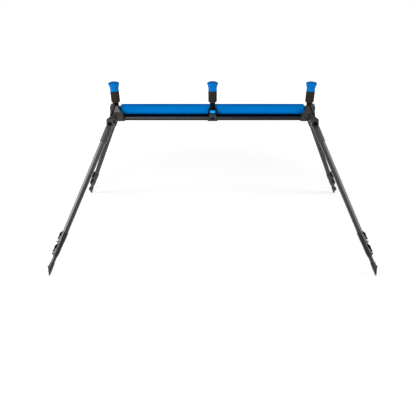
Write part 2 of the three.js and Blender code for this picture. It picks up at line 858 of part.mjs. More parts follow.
function endBracket() {
  const mirrored = new THREE.Matrix4().makeScale(1, -1, 1);
  const fork = moved(legFork(), forkFrame);
  const inWall = -pocketOuter - rootOverlap;
  const backCheekFace = -pocketBack + backCheekThickness;
  const beamSeat = block(
    inWall,
    -bracketInnerEnd,
    -beamSeatHalfDepth,
    beamSeatHalfDepth,
    bracketBottom,
    pocketFloor,
  );
  const backCheek = block(inWall, -axleBossFace, -pocketBack, backCheekFace, beamTop, backCheekTop);
  const axleBoss = bar(xAxis, axleBossDiameter, inWall, -axleBossFace, roundSides);
  const axleWeb = block(inWall, -axleBossFace, -axleWebHalfWidth, axleWebHalfWidth, beamTop, 0);
  const rearCheek = cut(
    moved(cheek(beamSeatHalfDepth - bracketSideWall), mirrored),
    block(-bracketOuterBottom, 0, 0, cheekRidge + cutOverrun, rearCheekTop, cheekTop + cutOverrun),
  );
  const body = join(
    outerWall(),
    beamSeat,
    band(),
    cheek(pocketFront),
    gusset(),
    moved(band(), mirrored),
    rearCheek,
    backCheek,
    axleBoss,
    axleWeb,
    fork,
    moved(fork, mirrored),
  );
  const postPocket = block(
    -pocketOuter,
    -bracketInnerEnd + cutOverrun,
    -pocketFront,
    -pocketBack,
    pocketFloor,
    bracketWallTop + cutOverrun,
  );
  const pinRoom = postPinDiameter + 2 * clearance;
  const pinHole = shifted(
    bar(yAxis, pinRoom, -cheekFoot + postPinCover, backCheekFace + cutOverrun),
    -postSpacing,
    0,
    -postPivotDrop,
  );
  const foamRoom = bar(xAxis, foamDiameter + 2 * foamGap, -foamOuterEnd - foamGap, 0, roundSides);
  return cut(
    body,
    foamRoom,
    postPocket,
    pinHole,
    beamSolid(2 * clearance, beamEnd + clearance),
    axleHole(-axleEnd - clearance, 0),
    moved(buttonPocket(outerButtonWidth, outerButtonHeight), outerButtonPlace),
  );
}

function postPin() {
  const from = -cheekFoot + postPinCover + clearance;
  const to = -pocketBack + backCheekThickness - clearance;
  return shifted(bar(yAxis, postPinDiameter, from, to), -postSpacing, 0, -postPivotDrop);
}

// Leg pieces in the leg's frame
const tubeStep = 2 * (tubeWall + clearance);
const middleTubeFlats = outerTubeFlats - tubeStep;
const innerTubeFlats = middleTubeFlats - tubeStep;
const socketEnd = socketTop + socketLength;
const socketFloor = socketTop + socketCapThickness;
const plugEnd = socketFloor + socketPlugLength;
const clampTop = outerTubeEnd - clampSeatLength;
const bossRoom = leverPivotBelow + leverLength + clampBossDiameter + clampBossToEnd;
const clampEnd = clampTop + bossRoom + upperBossGap;
const lowerClampTop = clampEnd + clearance;
const lowerClampEnd = lowerClampTop + bossRoom + lowerBossGap;
const middleTubeEnd = lowerClampTop + clampSeatLength;
const innerTubeEnd = lowerClampEnd + innerTubeReach;

function legSocket() {
  const half = tongueThickness / 2;
  const disc = bar(yAxis, 2 * tongueRadius, -half, half, roundSides);
  const neck = block(-neckHalfWidth, neckHalfWidth, -half, half, -socketFloor, 0);
  const shoulder = moved(
    block(-tongueRadius, -pivotPinDiameter / 2, -half, half, 0, forkStop - clearance),
    forkInLeg,
  );
  const sleeve = cut(
    hexBar(socketFlats, socketRounding, socketTop, socketEnd),
    hexBar(outerTubeFlats + 2 * clearance, tubeRounding, socketFloor, socketEnd + cutOverrun),
  );
  const plugFlats = outerTubeFlats - 2 * tubeWall - 2 * clearance;
  const plug = hexBar(plugFlats, tubeRounding, socketTop, plugEnd);
  const pinHole = bar(yAxis, pivotPinDiameter + 2 * clearance, -socketFlats, socketFlats);
  return cut(join(disc, neck, shoulder, sleeve, plug), pinHole);
}

// The lever's pin stands clear of the clamp's outer flat by half the lever's thickness.
function leverPinPlace(tubeFlats) {
  return -(tubeFlats + leverThickness) / 2 - clampWall - 2 * clearance;
}

// A clamp seats on the tube above it and slides round the tube below it.
function clamp(tubeFlats, top, end) {
  const wide = tubeFlats + 2 * clearance + 2 * clampWall;
  const slim = wide - tubeStep;
  const seat = tubeFlats + 2 * clearance;
  const guide = seat - tubeStep;
  const step = top + clampSeatLength + clearance;
  const collar = hexTurned([
    [seat, top],
    [seat, step],
    [guide, step],
    [guide, end],
    [slim, end],
    [wide, top + clampTaperStart],
    [wide, top],
    [seat, top],
  ]);
  const pinAcross = leverPinPlace(tubeFlats);
  const pinDown = top + leverPivotBelow;
  const inner = leverWidth / 2 + clearance;
  const lugs = [-1, 1].map((side) =>
    plateAcross(
      [
        [0, -top],
        [0, -pinDown - lugLength / 2],
        [-wide / 2, -pinDown - lugLength / 2],
        [pinAcross - leverThickness / 2, -pinDown - leverThickness / 2],
        [pinAcross - leverThickness / 2, -pinDown + leverThickness / 2],
        [-wide / 2, -top],
      ],
      side * inner,
      side * (inner + lugThickness),
    ),
  );
  const pin = shifted(
    bar(yAxis, leverPinDiameter, -inner - lugThickness, inner + lugThickness),
    pinAcross,
    0,
    -pinDown,
  );
  const boss = shifted(
    bar(yAxis, clampBossDiameter, -clampBossWidth / 2, clampBossWidth / 2),
    -slim / 2 - clampBossProud + clampBossDiameter / 2,
    0,
    -end + clampBossToEnd + clampBossDiameter / 2,
  );
  const guideBore = hexTurned([
    [0, step - clearance],
    [guide, step - clearance],
    [guide, end + cutOverrun],
    [0, end + cutOverrun],
  ].reverse());
  const seatBore = hexTurned([
    [0, top - cutOverrun],
    [seat, top - cutOverrun],
    [seat, step],
    [0, step],
  ].reverse());
  return join(cut(join(collar, ...lugs, boss), guideBore, seatBore), pin);
}

// The lever lies down the clamp's outer side from its eye to a turned-out lip.
function lever(tubeFlats, top) {
  const across = leverPinPlace(tubeFlats);
  const down = top + leverPivotBelow;
  const half = leverThickness / 2;
  const tip = -down - leverLength;
  const arm = plateAcross(
    [
      [across + half, -down],
      [across - half, -down],
      [across - half, tip + leverLipLength],
      [across - half - leverLipReach, tip],
      [across, tip],
      [across + half, tip + leverLipLength],
    ],
    -leverWidth / 2,
    leverWidth / 2,
  );
  const eye = shifted(bar(yAxis, leverThickness, -leverWidth / 2, leverWidth / 2), across, 0, -down);
  const pinRoom = bar(yAxis, leverPinDiameter + 2 * clearance, -leverWidth, leverWidth);
  return cut(join(arm, eye), shifted(pinRoom, across, 0, -down));
}

// The foot has a collar on the inner tube, a lip on its outer side and a wedge that ends at the inner side.
const footTop = innerTubeEnd - footSeatLength;
const footCollarEnd = footTop + footCollarLength;
const footTipEnd = footCollarEnd - footLipLength / 2 + footSpikeLength;
const footFlats = innerTubeFlats + 2 * clearance + 2 * footCollarWall;

function foot(groundInLeg) {
  const collar = hexBar(footFlats, tubeRounding, footTop, footCollarEnd);
  const lip = plateAcross(
    [
      [-footFlats / 2 - footLipReach, -footCollarEnd + footLipLength / 2],
      [0, -footCollarEnd - footLipLength / 2],
      [0, -footCollarEnd + footLipLength],
      [-footFlats / 2, -footCollarEnd + footLipLength],
    ],
    -footSpikeThickness / 2,
    footSpikeThickness / 2,
  );
  const wedge = plateAcross(
    [
      [-footFlats / 2, -footCollarEnd + footLipLength / 2],
      [footFlats / 2 - footTipWidth, -footTipEnd],
      [footFlats / 2, -footTipEnd],
      [footFlats / 2, -footCollarEnd + footLipLength / 2],
    ],
    -footSpikeThickness / 2,
    footSpikeThickness / 2,
  );
  const taper = plateAlong(
    [
      [-footSpikeThickness / 2, -footCollarEnd + footLipLength / 2],
      [-footTipThickness / 2, -footTipEnd],
      [footTipThickness / 2, -footTipEnd],
      [footSpikeThickness / 2, -footCollarEnd + footLipLength / 2],
    ],
    -footFlats,
    footFlats,
  );
  const seatFlats = innerTubeFlats + 2 * clearance;
  const seat = hexBar(seatFlats, tubeRounding, footTop - cutOverrun, innerTubeEnd + clearance);
  return cut(join(collar, lip, wedge.intersect(taper)), seat, groundInLeg);
}

// The roller axis stands at the height where the blunted foot tips meet the ground.
const footTipInLeg = new THREE.Vector3(footFlats / 2, 0, -footTipEnd);
const axisHeight = -footTipInLeg.clone().applyMatrix4(legFrame).z - footTipCut;
const groundBlock = block(
  -footTipEnd - legPivotAcross,
  0,
  -footTipEnd - legPivotForward,
  0,
  -axisHeight - footTipEnd,
  -axisHeight,
);
const groundInLeg = moved(groundBlock, legFrame.clone().invert());

// Assembly
const model = new THREE.Group();
model.position.z = axisHeight;

const centre = new THREE.Group();
centre.add(
  piece("beam", beam(), darkAluminium()),
  piece("centre_bracket", centreBracket(), greyCasting()),
  piece("centre_post_housing", centreHousing(), blackPlastic()),
  piece("roller_axle", axle(), steel()),
);
model.add(centre);

function addPost(group, name, stalk, x, sleeveBottom) {
  const post = new THREE.Group();
  post.position.set(x, -postForward, sleeveBottom);
  post.add(
    piece(name + "_post_stalk", stalk, blackPlastic()),
    piece(name + "_post_sleeve", postSleeve(), blackFoam()),
    piece(name + "_post_cap", postCap(), blueRubber()),
  );
  group.add(post);
}

addPost(centre, "centre", centreStalk(), 0, centreSleeveBottom);
centre.add(
  piece(
    "centre_post_button",
    moved(buttonSolid(centreButtonWidth, centreButtonHeight), centreButtonPlace),
    brightBlue(),
  ),
);

function addLeg(group, name) {
  const leg = new THREE.Group();
  leg.applyMatrix4(legFrame);
  const outerTube = hexTube(outerTubeFlats, socketFloor + clearance, outerTubeEnd);
  const middleTube = hexTube(middleTubeFlats, plugEnd + clearance, middleTubeEnd);
  const innerTube = hexTube(innerTubeFlats, plugEnd + clearance, innerTubeEnd);
  leg.add(
    piece(name + "_leg_socket", legSocket(), greyCasting()),
    piece(name + "_outer_tube", outerTube, greyAluminium()),
    piece(name + "_upper_clamp", clamp(outerTubeFlats, clampTop, clampEnd), greyCasting()),
    piece(name + "_upper_lever", lever(outerTubeFlats, clampTop), blackPlastic()),
    piece(name + "_middle_tube", middleTube, greyAluminium()),
    piece(name + "_lower_clamp", clamp(middleTubeFlats, lowerClampTop, lowerClampEnd), greyCasting()),
    piece(name + "_lower_lever", lever(middleTubeFlats, lowerClampTop), blackPlastic()),
    piece(name + "_inner_tube", innerTube, greyAluminium()),
    piece(name + "_foot", foot(groundInLeg), blackPlastic()),
  );
  group.add(leg);
}

// The left side is drawn, and the right side is its mirror image; the rear legs mirror the front ones.
for (const [side, mirror] of [["left", 1], ["right", -1]]) {
  const half = new THREE.Group();
  half.scale.x = mirror;
  half.add(
    piece(side + "_end_bracket", endBracket(), greyCasting()),
    piece(side + "_post_pin", postPin(), steel()),
    piece(
      side + "_post_button",
      moved(buttonSolid(outerButtonWidth, outerButtonHeight), outerButtonPlace),
      brightBlue(),
    ),
  );
  addPost(half, side, outerStalk(), -postSpacing, outerSleeveBottom);
  const roller = new THREE.Group();
  roller.scale.x = -1;
  roller.add(
    piece(side + "_roller_foam", foamRoller(), blueFoam()),
    piece(side + "_roller_tube", rollerTube(), darkAluminium()),
  );
  half.add(roller);
  addLeg(half, "front_" + side);
  const rear = new THREE.Group();
  rear.scale.y = -1;
  addLeg(rear, "rear_" + side);
  half.add(rear);
  model.add(half);
}

export default model;
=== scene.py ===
"""Pole roller: the finish and the fine shapes of its pieces, laid out as an add-on."""

import json
import math
from typing import Callable, NamedTuple

import bmesh
import bpy
from bpy.props import FloatProperty, FloatVectorProperty, IntProperty, PointerProperty
from mathutils import Matrix, Vector


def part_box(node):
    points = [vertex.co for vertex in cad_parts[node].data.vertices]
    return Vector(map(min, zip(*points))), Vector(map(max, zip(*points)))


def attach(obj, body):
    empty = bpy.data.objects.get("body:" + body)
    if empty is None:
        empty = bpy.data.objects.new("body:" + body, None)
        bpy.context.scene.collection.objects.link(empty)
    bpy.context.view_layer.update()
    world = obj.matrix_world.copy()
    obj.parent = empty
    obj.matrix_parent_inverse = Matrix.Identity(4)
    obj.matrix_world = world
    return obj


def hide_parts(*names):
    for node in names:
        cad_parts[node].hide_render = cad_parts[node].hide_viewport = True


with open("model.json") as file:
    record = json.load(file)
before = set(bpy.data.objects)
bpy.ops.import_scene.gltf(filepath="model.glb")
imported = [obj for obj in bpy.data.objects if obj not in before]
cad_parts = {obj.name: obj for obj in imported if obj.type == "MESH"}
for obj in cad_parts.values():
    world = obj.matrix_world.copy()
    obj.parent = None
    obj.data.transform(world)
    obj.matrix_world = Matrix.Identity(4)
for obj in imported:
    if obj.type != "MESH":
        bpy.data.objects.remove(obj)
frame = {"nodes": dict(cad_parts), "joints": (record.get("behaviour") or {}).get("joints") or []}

bl_info = {
    "name": "Pole roller",
    "version": (1, 0, 0),
    "blender": (4, 5, 0),
    "location": "3D View > Sidebar > Pole Roller",
    "description": "Foam rollers on a beam with guide posts and telescopic legs",
    "category": "Object",
}

MM = 0.001
TINY = 1e-7
CLEARANCE = 0.3 * MM
LEVEL = 0.95  # of a normal's length, for a face that looks along an axis
X, Y, Z = Vector((1, 0, 0)), Vector((0, 1, 0)), Vector((0, 0, 1))
JOINTS = {joint["name"]: joint for joint in frame["joints"]}
NODES = frame["nodes"]
SIDES = ("left", "right")
POSTS = ("left", "centre", "right")
LEGS = ("front_left", "front_right", "rear_left", "rear_right")
LEG_BODIES = {"outer": "_leg", "middle": "_middle", "inner": "_inner"}
AXLE_HEIGHT = JOINTS["left_roller_spin"]["pos_m"][2]


# Settings that a user would change
def colour(name, description, default):
    return FloatVectorProperty(
        name=name, description=description, subtype="COLOR", size=3, min=0, max=1, default=default
    )


def length(name, description, default):
    return FloatProperty(
        name=name, description=description, unit="LENGTH", min=0, precision=5, default=default
    )


class PoleRollerColours(bpy.types.PropertyGroup):
    """Base colours of the materials"""

    roller_foam: colour("Roller foam", "Blue of the two roller covers", (0.0, 0.15, 0.49))
    sleeve_foam: colour("Sleeve foam", "Black foam on the posts", (0.024, 0.02, 0.016))
    cap_rubber: colour("Cap rubber", "Blue of the flared caps", (0.0, 0.133, 0.43))
    button: colour("Button", "Bright blue of the push buttons", (0.0, 0.28, 0.8))
    # Black plastic of the real black parts, also used as painted shade round the bracket pivots
    black_plastic: colour(
        "Black plastic", "Stalks, levers, bolt heads and post housing", (0.0026, 0.0025, 0.0024)
    )
    casting: colour("Casting", "End brackets and leg sockets", (0.017, 0.016, 0.0142))
    dull_casting: colour("Dull casting", "Saddle in the middle of the beam", (0.03, 0.03, 0.029))
    clamp_plastic: colour("Clamp plastic", "Clamps on the legs", (0.006, 0.006, 0.0062))
    foot_plastic: colour("Foot plastic", "Pointed feet", (0.011, 0.0105, 0.0095))
    leg_metal: colour("Leg metal", "Anodised leg tubes", (0.036, 0.038, 0.0345))
    beam_metal: colour("Beam metal", "Anodised beam", (0.021, 0.021, 0.0198))
    steel: colour("Steel", "Axle and post pins", (0.4, 0.4, 0.38))
    # Navy of the saddle's recess insert; on the beam's top the same colour is painted shade and a
    # painted blue reflection of the rollers
    navy: colour("Navy", "Top of the beam and recess of the saddle", (0.001, 0.0078, 0.028))
    dust: colour("Dust", "Dust that settles on upper faces", (0.28, 0.26, 0.22))


class PoleRollerSizes(bpy.types.PropertyGroup):
    """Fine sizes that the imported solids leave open"""

    casting_edge: length("Casting edge", "Rounding of cast edges", 0.5 * MM)
    moulded_edge: length("Moulded edge", "Rounding of moulded edges", 0.35 * MM)
    foam_cell: length("Foam cell", "Size of the foam's cells", 0.55 * MM)
    round_sides: IntProperty(
        name="Round sides", description="Facets round a turned piece", min=24, default=96
    )


class PoleRollerStage(bpy.types.PropertyGroup):
    """Strengths of the lights"""

    ambient: FloatProperty(
        name="Ambient", description="Light from all round on matt faces", min=0, default=0.38
    )
    front_power: FloatProperty(
        name="Front lamp", description="Power of the soft lamp in front", unit="POWER", default=58
    )
    low_power: FloatProperty(
        name="Low lamp", description="Power of the low lamp in front", unit="POWER", default=4
    )
    left_power: FloatProperty(
        name="Left lamp", description="Power of the left strip", unit="POWER", default=26
    )
    right_power: FloatProperty(
        name="Right lamp", description="Power of the right strip", unit="POWER", default=16
    )


def settings():
    scene = bpy.context.scene
    return scene.pole_roller_colours, scene.pole_roller_sizes, scene.pole_roller_stage


# Shader node groups
def node(tree, kind, values=None, **options):
    """A new node with its options set and its inputs given as values or links."""
    made = tree.nodes.new(kind)
    for option, value in options.items():
        setattr(made, option, value)
    for socket, value in (values or {}).items():
        if isinstance(value, bpy.types.NodeSocket):
            tree.links.new(value, made.inputs[socket])
        else:
            made.inputs[socket].default_value = value
    return made


def maths(tree, operation, first, second):
    return node(tree, "ShaderNodeMath", {0: first, 1: second}, operation=operation).outputs[0]


def ramp(tree, value, low, high, to_low=0.0, to_high=1.0):
    """The value brought from one range to another, and held inside it."""
    values = {"Value": value, "From Min": low, "From Max": high}
    values |= {"To Min": to_low, "To Max": to_high}
    return node(tree, "ShaderNodeMapRange", values).outputs["Result"]


def noise(tree, place, scale, detail):
    values = {"Vector": place, "Scale": scale, "Detail": detail}
    return node(tree, "ShaderNodeTexNoise", values).outputs[0]


def place_of(tree):
    return node(tree, "ShaderNodeTexCoord").outputs["Object"]


def moulded_grain(tree, start):
    """A fine texture and a slow change of tone."""
    place = place_of(tree)
    fine = noise(tree, place, start["Fineness"], detail=3.0)
    return {"Height": fine, "Tone": noise(tree, place, scale=38.0, detail=4.0)}


def foam_cells(tree, start):
    """Closed cells of foam, with larger soft dents."""
    place = place_of(tree)
    cells = node(tree, "ShaderNodeTexVoronoi", {"Vector": place, "Scale": start["Fineness"]})
    dents = noise(tree, place, scale=120.0, detail=3.0)
    height = maths(tree, "ADD", cells.outputs["Distance"], dents)
    return {"Height": height, "Tone": noise(tree, place, scale=14.0, detail=5.0)}


def drawn_lines(tree, start):
    """Fine lines that a die leaves along a drawn metal section."""
    stretched = {0: place_of(tree), 1: start["Stretch"]}
    place = node(tree, "ShaderNodeVectorMath", stretched, operation="MULTIPLY").outputs[0]
    lines = noise(tree, place, scale=2600.0, detail=2.0)
    return {"Height": lines, "Tone": noise(tree, place, scale=300.0, detail=3.0)}


def settled_dust(tree, start):
    """Specks of dust on the faces that look up."""
    facing_way = node(tree, "ShaderNodeTexCoord").outputs["Normal"]
    up = node(tree, "ShaderNodeSeparateXYZ", {0: facing_way}).outputs["Z"]
    specks = noise(tree, place_of(tree), scale=70.0, detail=6.0)
    amount = maths(tree, "MULTIPLY", start["Amount"], ramp(tree, specks, low=0.35, high=0.75))
    return {"Mask": maths(tree, "MULTIPLY", amount, ramp(tree, up, low=0.3, high=1.0))}


# Each group's inputs with their defaults, its outputs and the function that fills it
GROUPS = {
    "Moulded grain": ({"Fineness": 900.0}, ("Height", "Tone"), moulded_grain),
    "Foam cells": ({"Fineness": 1800.0}, ("Height", "Tone"), foam_cells),
    "Drawn lines": ({"Stretch": (1.0, 1.0, 0.01)}, ("Height", "Tone"), drawn_lines),
    "Settled dust": ({"Amount": 0.1}, ("Mask",), settled_dust),
}


def group(name):
    """The shared node group of this name, built when it is first asked for."""
    found = bpy.data.node_groups.get(name)
    if found:
        return found
    inputs, outputs, fill = GROUPS[name]
    tree = bpy.data.node_groups.new(name, "ShaderNodeTree")
    for label, default in inputs.items():
        kind = "NodeSocketFloat" if isinstance(default, float) else "NodeSocketVector"
        socket = tree.interface.new_socket(label, in_out="INPUT", socket_type=kind)
        socket.default_value = default
    for label in outputs:
        tree.interface.new_socket(label, in_out="OUTPUT", socket_type="NodeSocketFloat")
    start = tree.nodes.new("NodeGroupInput")
    end = tree.nodes.new("NodeGroupOutput")
    for label, value in fill(tree, start.outputs).items():
        tree.links.new(value, end.inputs[label])
    return tree


def effect(tree, name, **values):
    """A shared node group placed in a material, with its own values."""
    placed = node(tree, "ShaderNodeGroup", node_tree=group(name))
    for label, value in values.items():
        placed.inputs[label].default_value = value
    return placed.outputs


def foam(tree):
    return effect(tree, "Foam cells", Fineness=1 / settings()[1].foam_cell)


def grain(fineness):
    return lambda tree: effect(tree, "Moulded grain", Fineness=fineness)


def drawn(stretch):
    return lambda tree: effect(tree, "Drawn lines", Stretch=stretch)


# Materials
class Finish(NamedTuple):
    """What tells one material from the next."""

    name: str
    colour: str
    texture: Callable
    roughness: tuple
    relief: float
    gloss: float = 0.5
    metallic: float = 0.0
    tone: float = 0.12
    dust: float = 0.0


ALONG_LEG = (1.0, 1.0, 0.01)
ALONG_BEAM = (0.01, 1.0, 1.0)
FINISHES = {
    "roller_foam": Finish(
        "Roller foam", "roller_foam", foam, (0.55, 0.7), 0.05 * MM, gloss=0.0, tone=0.05
    ),
    "sleeve_foam": Finish(
        "Sleeve foam", "sleeve_foam", foam, (0.7, 0.85), 0.12 * MM, gloss=0.0, dust=0.02
    ),
    "cap_rubber": Finish(
        "Cap rubber", "cap_rubber", grain(1500.0), (0.4, 0.5), 0.02 * MM, gloss=0.03, tone=0.05
    ),
    "button_plastic": Finish(
        "Button plastic", "button", grain(1200.0), (0.16, 0.24), 0.006 * MM, gloss=0.1, tone=0.04
    ),
    # Black plastic, also used as painted shade round the bracket pivots
    "black_plastic": Finish(
        "Black plastic", "black_plastic", grain(1400.0), (0.34, 0.46), 0.025 * MM, gloss=0.03
    ),
    "grey_casting": Finish(
        "Casting", "casting", grain(1100.0), (0.26, 0.34), 0.03 * MM, gloss=0.26, dust=0.01
    ),
    "dull_casting": Finish(
        "Dull casting", "dull_casting", grain(1100.0), (0.45, 0.55), 0.03 * MM, gloss=0.08
    ),
    "clamp_plastic": Finish(
        "Clamp plastic", "clamp_plastic", grain(1300.0), (0.2, 0.26), 0.01 * MM, gloss=0.22
    ),
    "foot_plastic": Finish(
        "Foot plastic", "foot_plastic", grain(1400.0), (0.3, 0.4), 0.02 * MM, gloss=0.3, dust=0.05
    ),
    "leg_aluminium": Finish(
        "Leg metal",
        "leg_metal",
        drawn(ALONG_LEG),
        (0.22, 0.28),
        0.002 * MM,
        gloss=0.1,
        metallic=0.85,
        tone=0.06,
    ),
    "beam_aluminium": Finish(
        "Beam metal",
        "beam_metal",
        drawn(ALONG_BEAM),
        (0.28, 0.34),
        0.002 * MM,
        gloss=0.05,
        metallic=0.7,
        tone=0.05,
    ),
    "steel": Finish("Steel", "steel", grain(700.0), (0.2, 0.34), 0.006 * MM, metallic=1.0),
    # Navy insert of the saddle, and painted shade with a painted blue reflection on the beam's top
    "navy": Finish("Navy plastic", "navy", grain(1200.0), (0.4, 0.5), 0.02 * MM, gloss=0.0),
}
TONE_LOW, TONE_HIGH = 0.3, 0.7
# Sockets of a Mix node that mixes colours
SHARE, FIRST, SECOND, RESULT = 0, 6, 7, 2
made_materials = {}


def mixed(tree, share, first, second):
    values = {SHARE: share, FIRST: first, SECOND: second}
    return node(tree, "ShaderNodeMix", values, data_type="RGBA").outputs[RESULT]


def shade(base, factor):
    return (*(min(1.0, part * factor) for part in base), 1.0)


def finished(row):
    """A material whose texture gives relief, tone and roughness, with its dust on top."""
    colours = settings()[0]
    base = getattr(colours, row.colour)
    material = bpy.data.materials.new(row.name)
    material.use_nodes = True
    tree = material.node_tree
    shader = tree.nodes["Principled BSDF"].inputs
    shader["Specular IOR Level"].default_value = row.gloss
    shader["Metallic"].default_value = row.metallic
    texture = row.texture(tree)
    tint = mixed(tree, texture["Tone"], shade(base, 1 - row.tone), shade(base, 1 + row.tone))
    if row.dust:
        mask = effect(tree, "Settled dust", Amount=row.dust)["Mask"]
        tint = mixed(tree, mask, tint, (*colours.dust, 1.0))
    roughness = ramp(tree, texture["Tone"], TONE_LOW, TONE_HIGH, *row.roughness)
    relief = {"Height": texture["Height"], "Strength": 1.0, "Distance": row.relief}
    tree.links.new(tint, shader["Base Color"])
    tree.links.new(roughness, shader["Roughness"])
    tree.links.new(node(tree, "ShaderNodeBump", relief).outputs[0], shader["Normal"])
    return material


def material_for(key):
    if key not in made_materials:
        made_materials[key] = finished(FINISHES[key])
    return made_materials[key]


# Mesh tools
SMOOTH_ANGLE = 34
SHARP_ANGLE = 28
BEVEL_ANGLE = 50
MERGE_ANGLE = 0.6
WELD = 1e-6
ROUND_PROFILE = 0.5
BEVEL_SEGMENTS = 2
CORNER_STEPS = 4


def to_mesh(name, shape, smooth_angle=SMOOTH_ANGLE):
    """The finished mesh of a bmesh, sharp where faces meet at more than the angle."""
    bmesh.ops.recalc_face_normals(shape, faces=shape.faces)
    mesh = bpy.data.meshes.new(name)
    shape.to_mesh(mesh)
    shape.free()
    mesh.validate()
    mesh.shade_smooth()
    mesh.set_sharp_from_angle(angle=math.radians(smooth_angle))
    return mesh


def skin(shape, rings, closed_ends=False):
    """Faces between rings of vertices; a ring of one vertex is a tip."""
    for low, high in zip(rings, rings[1:]):
        count = max(len(low), len(high))
        for step in range(count):
            after = (step + 1) % count
            around = [low[step % len(low)], low[after % len(low)]]
            around += [high[after % len(high)], high[step % len(high)]]
            shape.faces.new(list(dict.fromkeys(around)))
    if closed_ends:
        shape.faces.new(rings[0])
        shape.faces.new(rings[-1])


def circle(shape, radius, height, sides):
    """A level ring of new vertices about z."""
    turn = 2 * math.pi / sides
    points = [(radius * math.cos(i * turn), radius * math.sin(i * turn)) for i in range(sides)]
    return [shape.verts.new((x, y, height)) for x, y in points]


def turned(profile):
    """A mesh of radius and height pairs turned about z."""
    sides = settings()[1].round_sides
    shape = bmesh.new()
    rings = []
    for radius, height in profile:
        tip = radius < TINY
        rings.append(
            [shape.verts.new((0, 0, height))] if tip else circle(shape, radius, height, sides)
        )
    if profile[0] == profile[-1] and profile[0][0] > TINY:
        for vertex in rings.pop():
            shape.verts.remove(vertex)
        rings.append(rings[0])
    skin(shape, rings)
    return to_mesh("turned", shape)


def arc(centre, radius, start, end, steps):
    """Points on an arc, with its angles in degrees."""
    points = []
    for step in range(steps + 1):
        angle = math.radians(start + (end - start) * step / steps)
        points.append((centre[0] + radius * math.cos(angle), centre[1] + radius * math.sin(angle)))
    return points


def rounded(points, radius, steps=CORNER_STEPS):
    """The outline with each corner turned into an arc."""
    result = []
    for index, corner in enumerate(points):
        here = Vector(corner)
        before = (Vector(points[index - 1]) - here).normalized()
        after = (Vector(points[(index + 1) % len(points)]) - here).normalized()
        half = before.angle(after) / 2
        reach = radius / math.tan(half)
        middle = here + (before + after).normalized() * (radius / math.sin(half))
        first = here + before * reach - middle
        last = here + after * reach - middle
        for step in range(steps + 1):
            mix = first.lerp(last, step / steps).normalized() * radius
            result.append(tuple(middle + mix))
    return result


def bevelled(shape, edges, offset, held):
    """Rounds the edges; where held is true, neighbouring roundings can't cross."""
    bmesh.ops.bevel(
        shape,
        geom=edges,
        offset=offset,
        segments=BEVEL_SEGMENTS,
        profile=ROUND_PROFILE,
        affect="EDGES",
        clamp_overlap=held,
    )


def prism(points, low, high, edge):
    """An outline in x and y raised from low to high, with its end rims rounded."""
    shape = bmesh.new()
    rings = [[shape.verts.new((x, y, height)) for x, y in points] for height in (low, high)]
    skin(shape, rings, closed_ends=True)
    rims = [one for one in shape.edges if abs(one.verts[0].co.z - one.verts[1].co.z) < TINY]
    bevelled(shape, rims, edge, held=True)
    return to_mesh("prism", shape)


def weighted(mesh, angle):
    """Corner normals that follow the larger faces, so flats stay flat beside rounded edges."""
    limit = math.cos(math.radians(angle))
    faces = [(face.normal.copy(), face.area, tuple(face.vertices)) for face in mesh.polygons]
    around = [[] for _ in mesh.vertices]
    for normal, area, corners in faces:
        for corner in corners:
            around[corner].append((normal, area))
    normals = []
    for normal, _, corners in faces:
        for corner in corners:
            total = Vector((0, 0, 0))
            for other, area in around[corner]:
                if other.dot(normal) > limit:
                    total += other * area
            normals.append(total.normalized())
    mesh.normals_split_custom_set(normals)
    return mesh


def softened(node_name, edge, matrix=None):
    """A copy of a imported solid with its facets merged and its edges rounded."""
    shape = bmesh.new()
    shape.from_mesh(NODES[node_name].data)
    bmesh.ops.remove_doubles(shape, verts=shape.verts, dist=WELD)
    bmesh.ops.dissolve_limit(
        shape,
        angle_limit=math.radians(MERGE_ANGLE),
        verts=shape.verts,
        edges=shape.edges,
        use_dissolve_boundaries=False,
    )
    sharp = [
        one
        for one in shape.edges
        if len(one.link_faces) == 2
        and one.calc_face_angle(0) > math.radians(SHARP_ANGLE)
        and one.calc_length() > edge
    ]
    bevelled(shape, sharp, edge, held=False)
    bmesh.ops.triangulate(shape, faces=[face for face in shape.faces if len(face.verts) > 4])
    if matrix:
        bmesh.ops.transform(shape, matrix=matrix, verts=shape.verts)
    return weighted(to_mesh(node_name + "_soft", shape, SHARP_ANGLE), BEVEL_ANGLE)


def put(name, mesh, body, key, matrix=None, stands_for=()):
    """Places a piece, gives it its material and ties it to its body."""
    mesh.name = name
    mesh.materials.clear()
    mesh.materials.append(material_for(key))
    piece = bpy.data.objects.new(name, mesh)
    bpy.context.scene.collection.objects.link(piece)
    piece.matrix_world = matrix or Matrix.Identity(4)
    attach(piece, body)
    if stands_for:
        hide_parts(*stands_for)
    return piece


def paint(piece, key, wanted):
    """Gives the faces that are wanted, judged by middle and normal, another material."""
    mesh = piece.data
    mesh.materials.append(material_for(key))
    faces = [face for face in mesh.polygons if wanted(face.center, face.normal)]
    if not faces:
        raise RuntimeError(f"{piece.name} has no face for {key}")
    for face in faces:
        face.material_index = len(mesh.materials) - 1


def axes(x, y, z, origin):
    """A matrix from three directions and a place."""
    made = Matrix.Identity(4)
    for column, direction in enumerate((x, y, z)):
        for row in range(3):
            made[row][column] = direction[row]
    made.translation = origin
    return made


def facing(direction, origin):
    """A matrix whose z looks along the direction."""
    z = Vector(direction).normalized()
    x = z.orthogonal().normalized()
    return axes(x, z.cross(x), z, origin)


# A screw head's shares: of its radius for reaches, of its height for levels
HEAD_SIDES = 48
HEAD_RIM = 0.35
HEAD_FLAT = 0.72
SOCKET_REACH = 0.42
SOCKET_LIP = 1.12
SOCKET_TOP = 0.92
SOCKET_FLOOR = 0.3


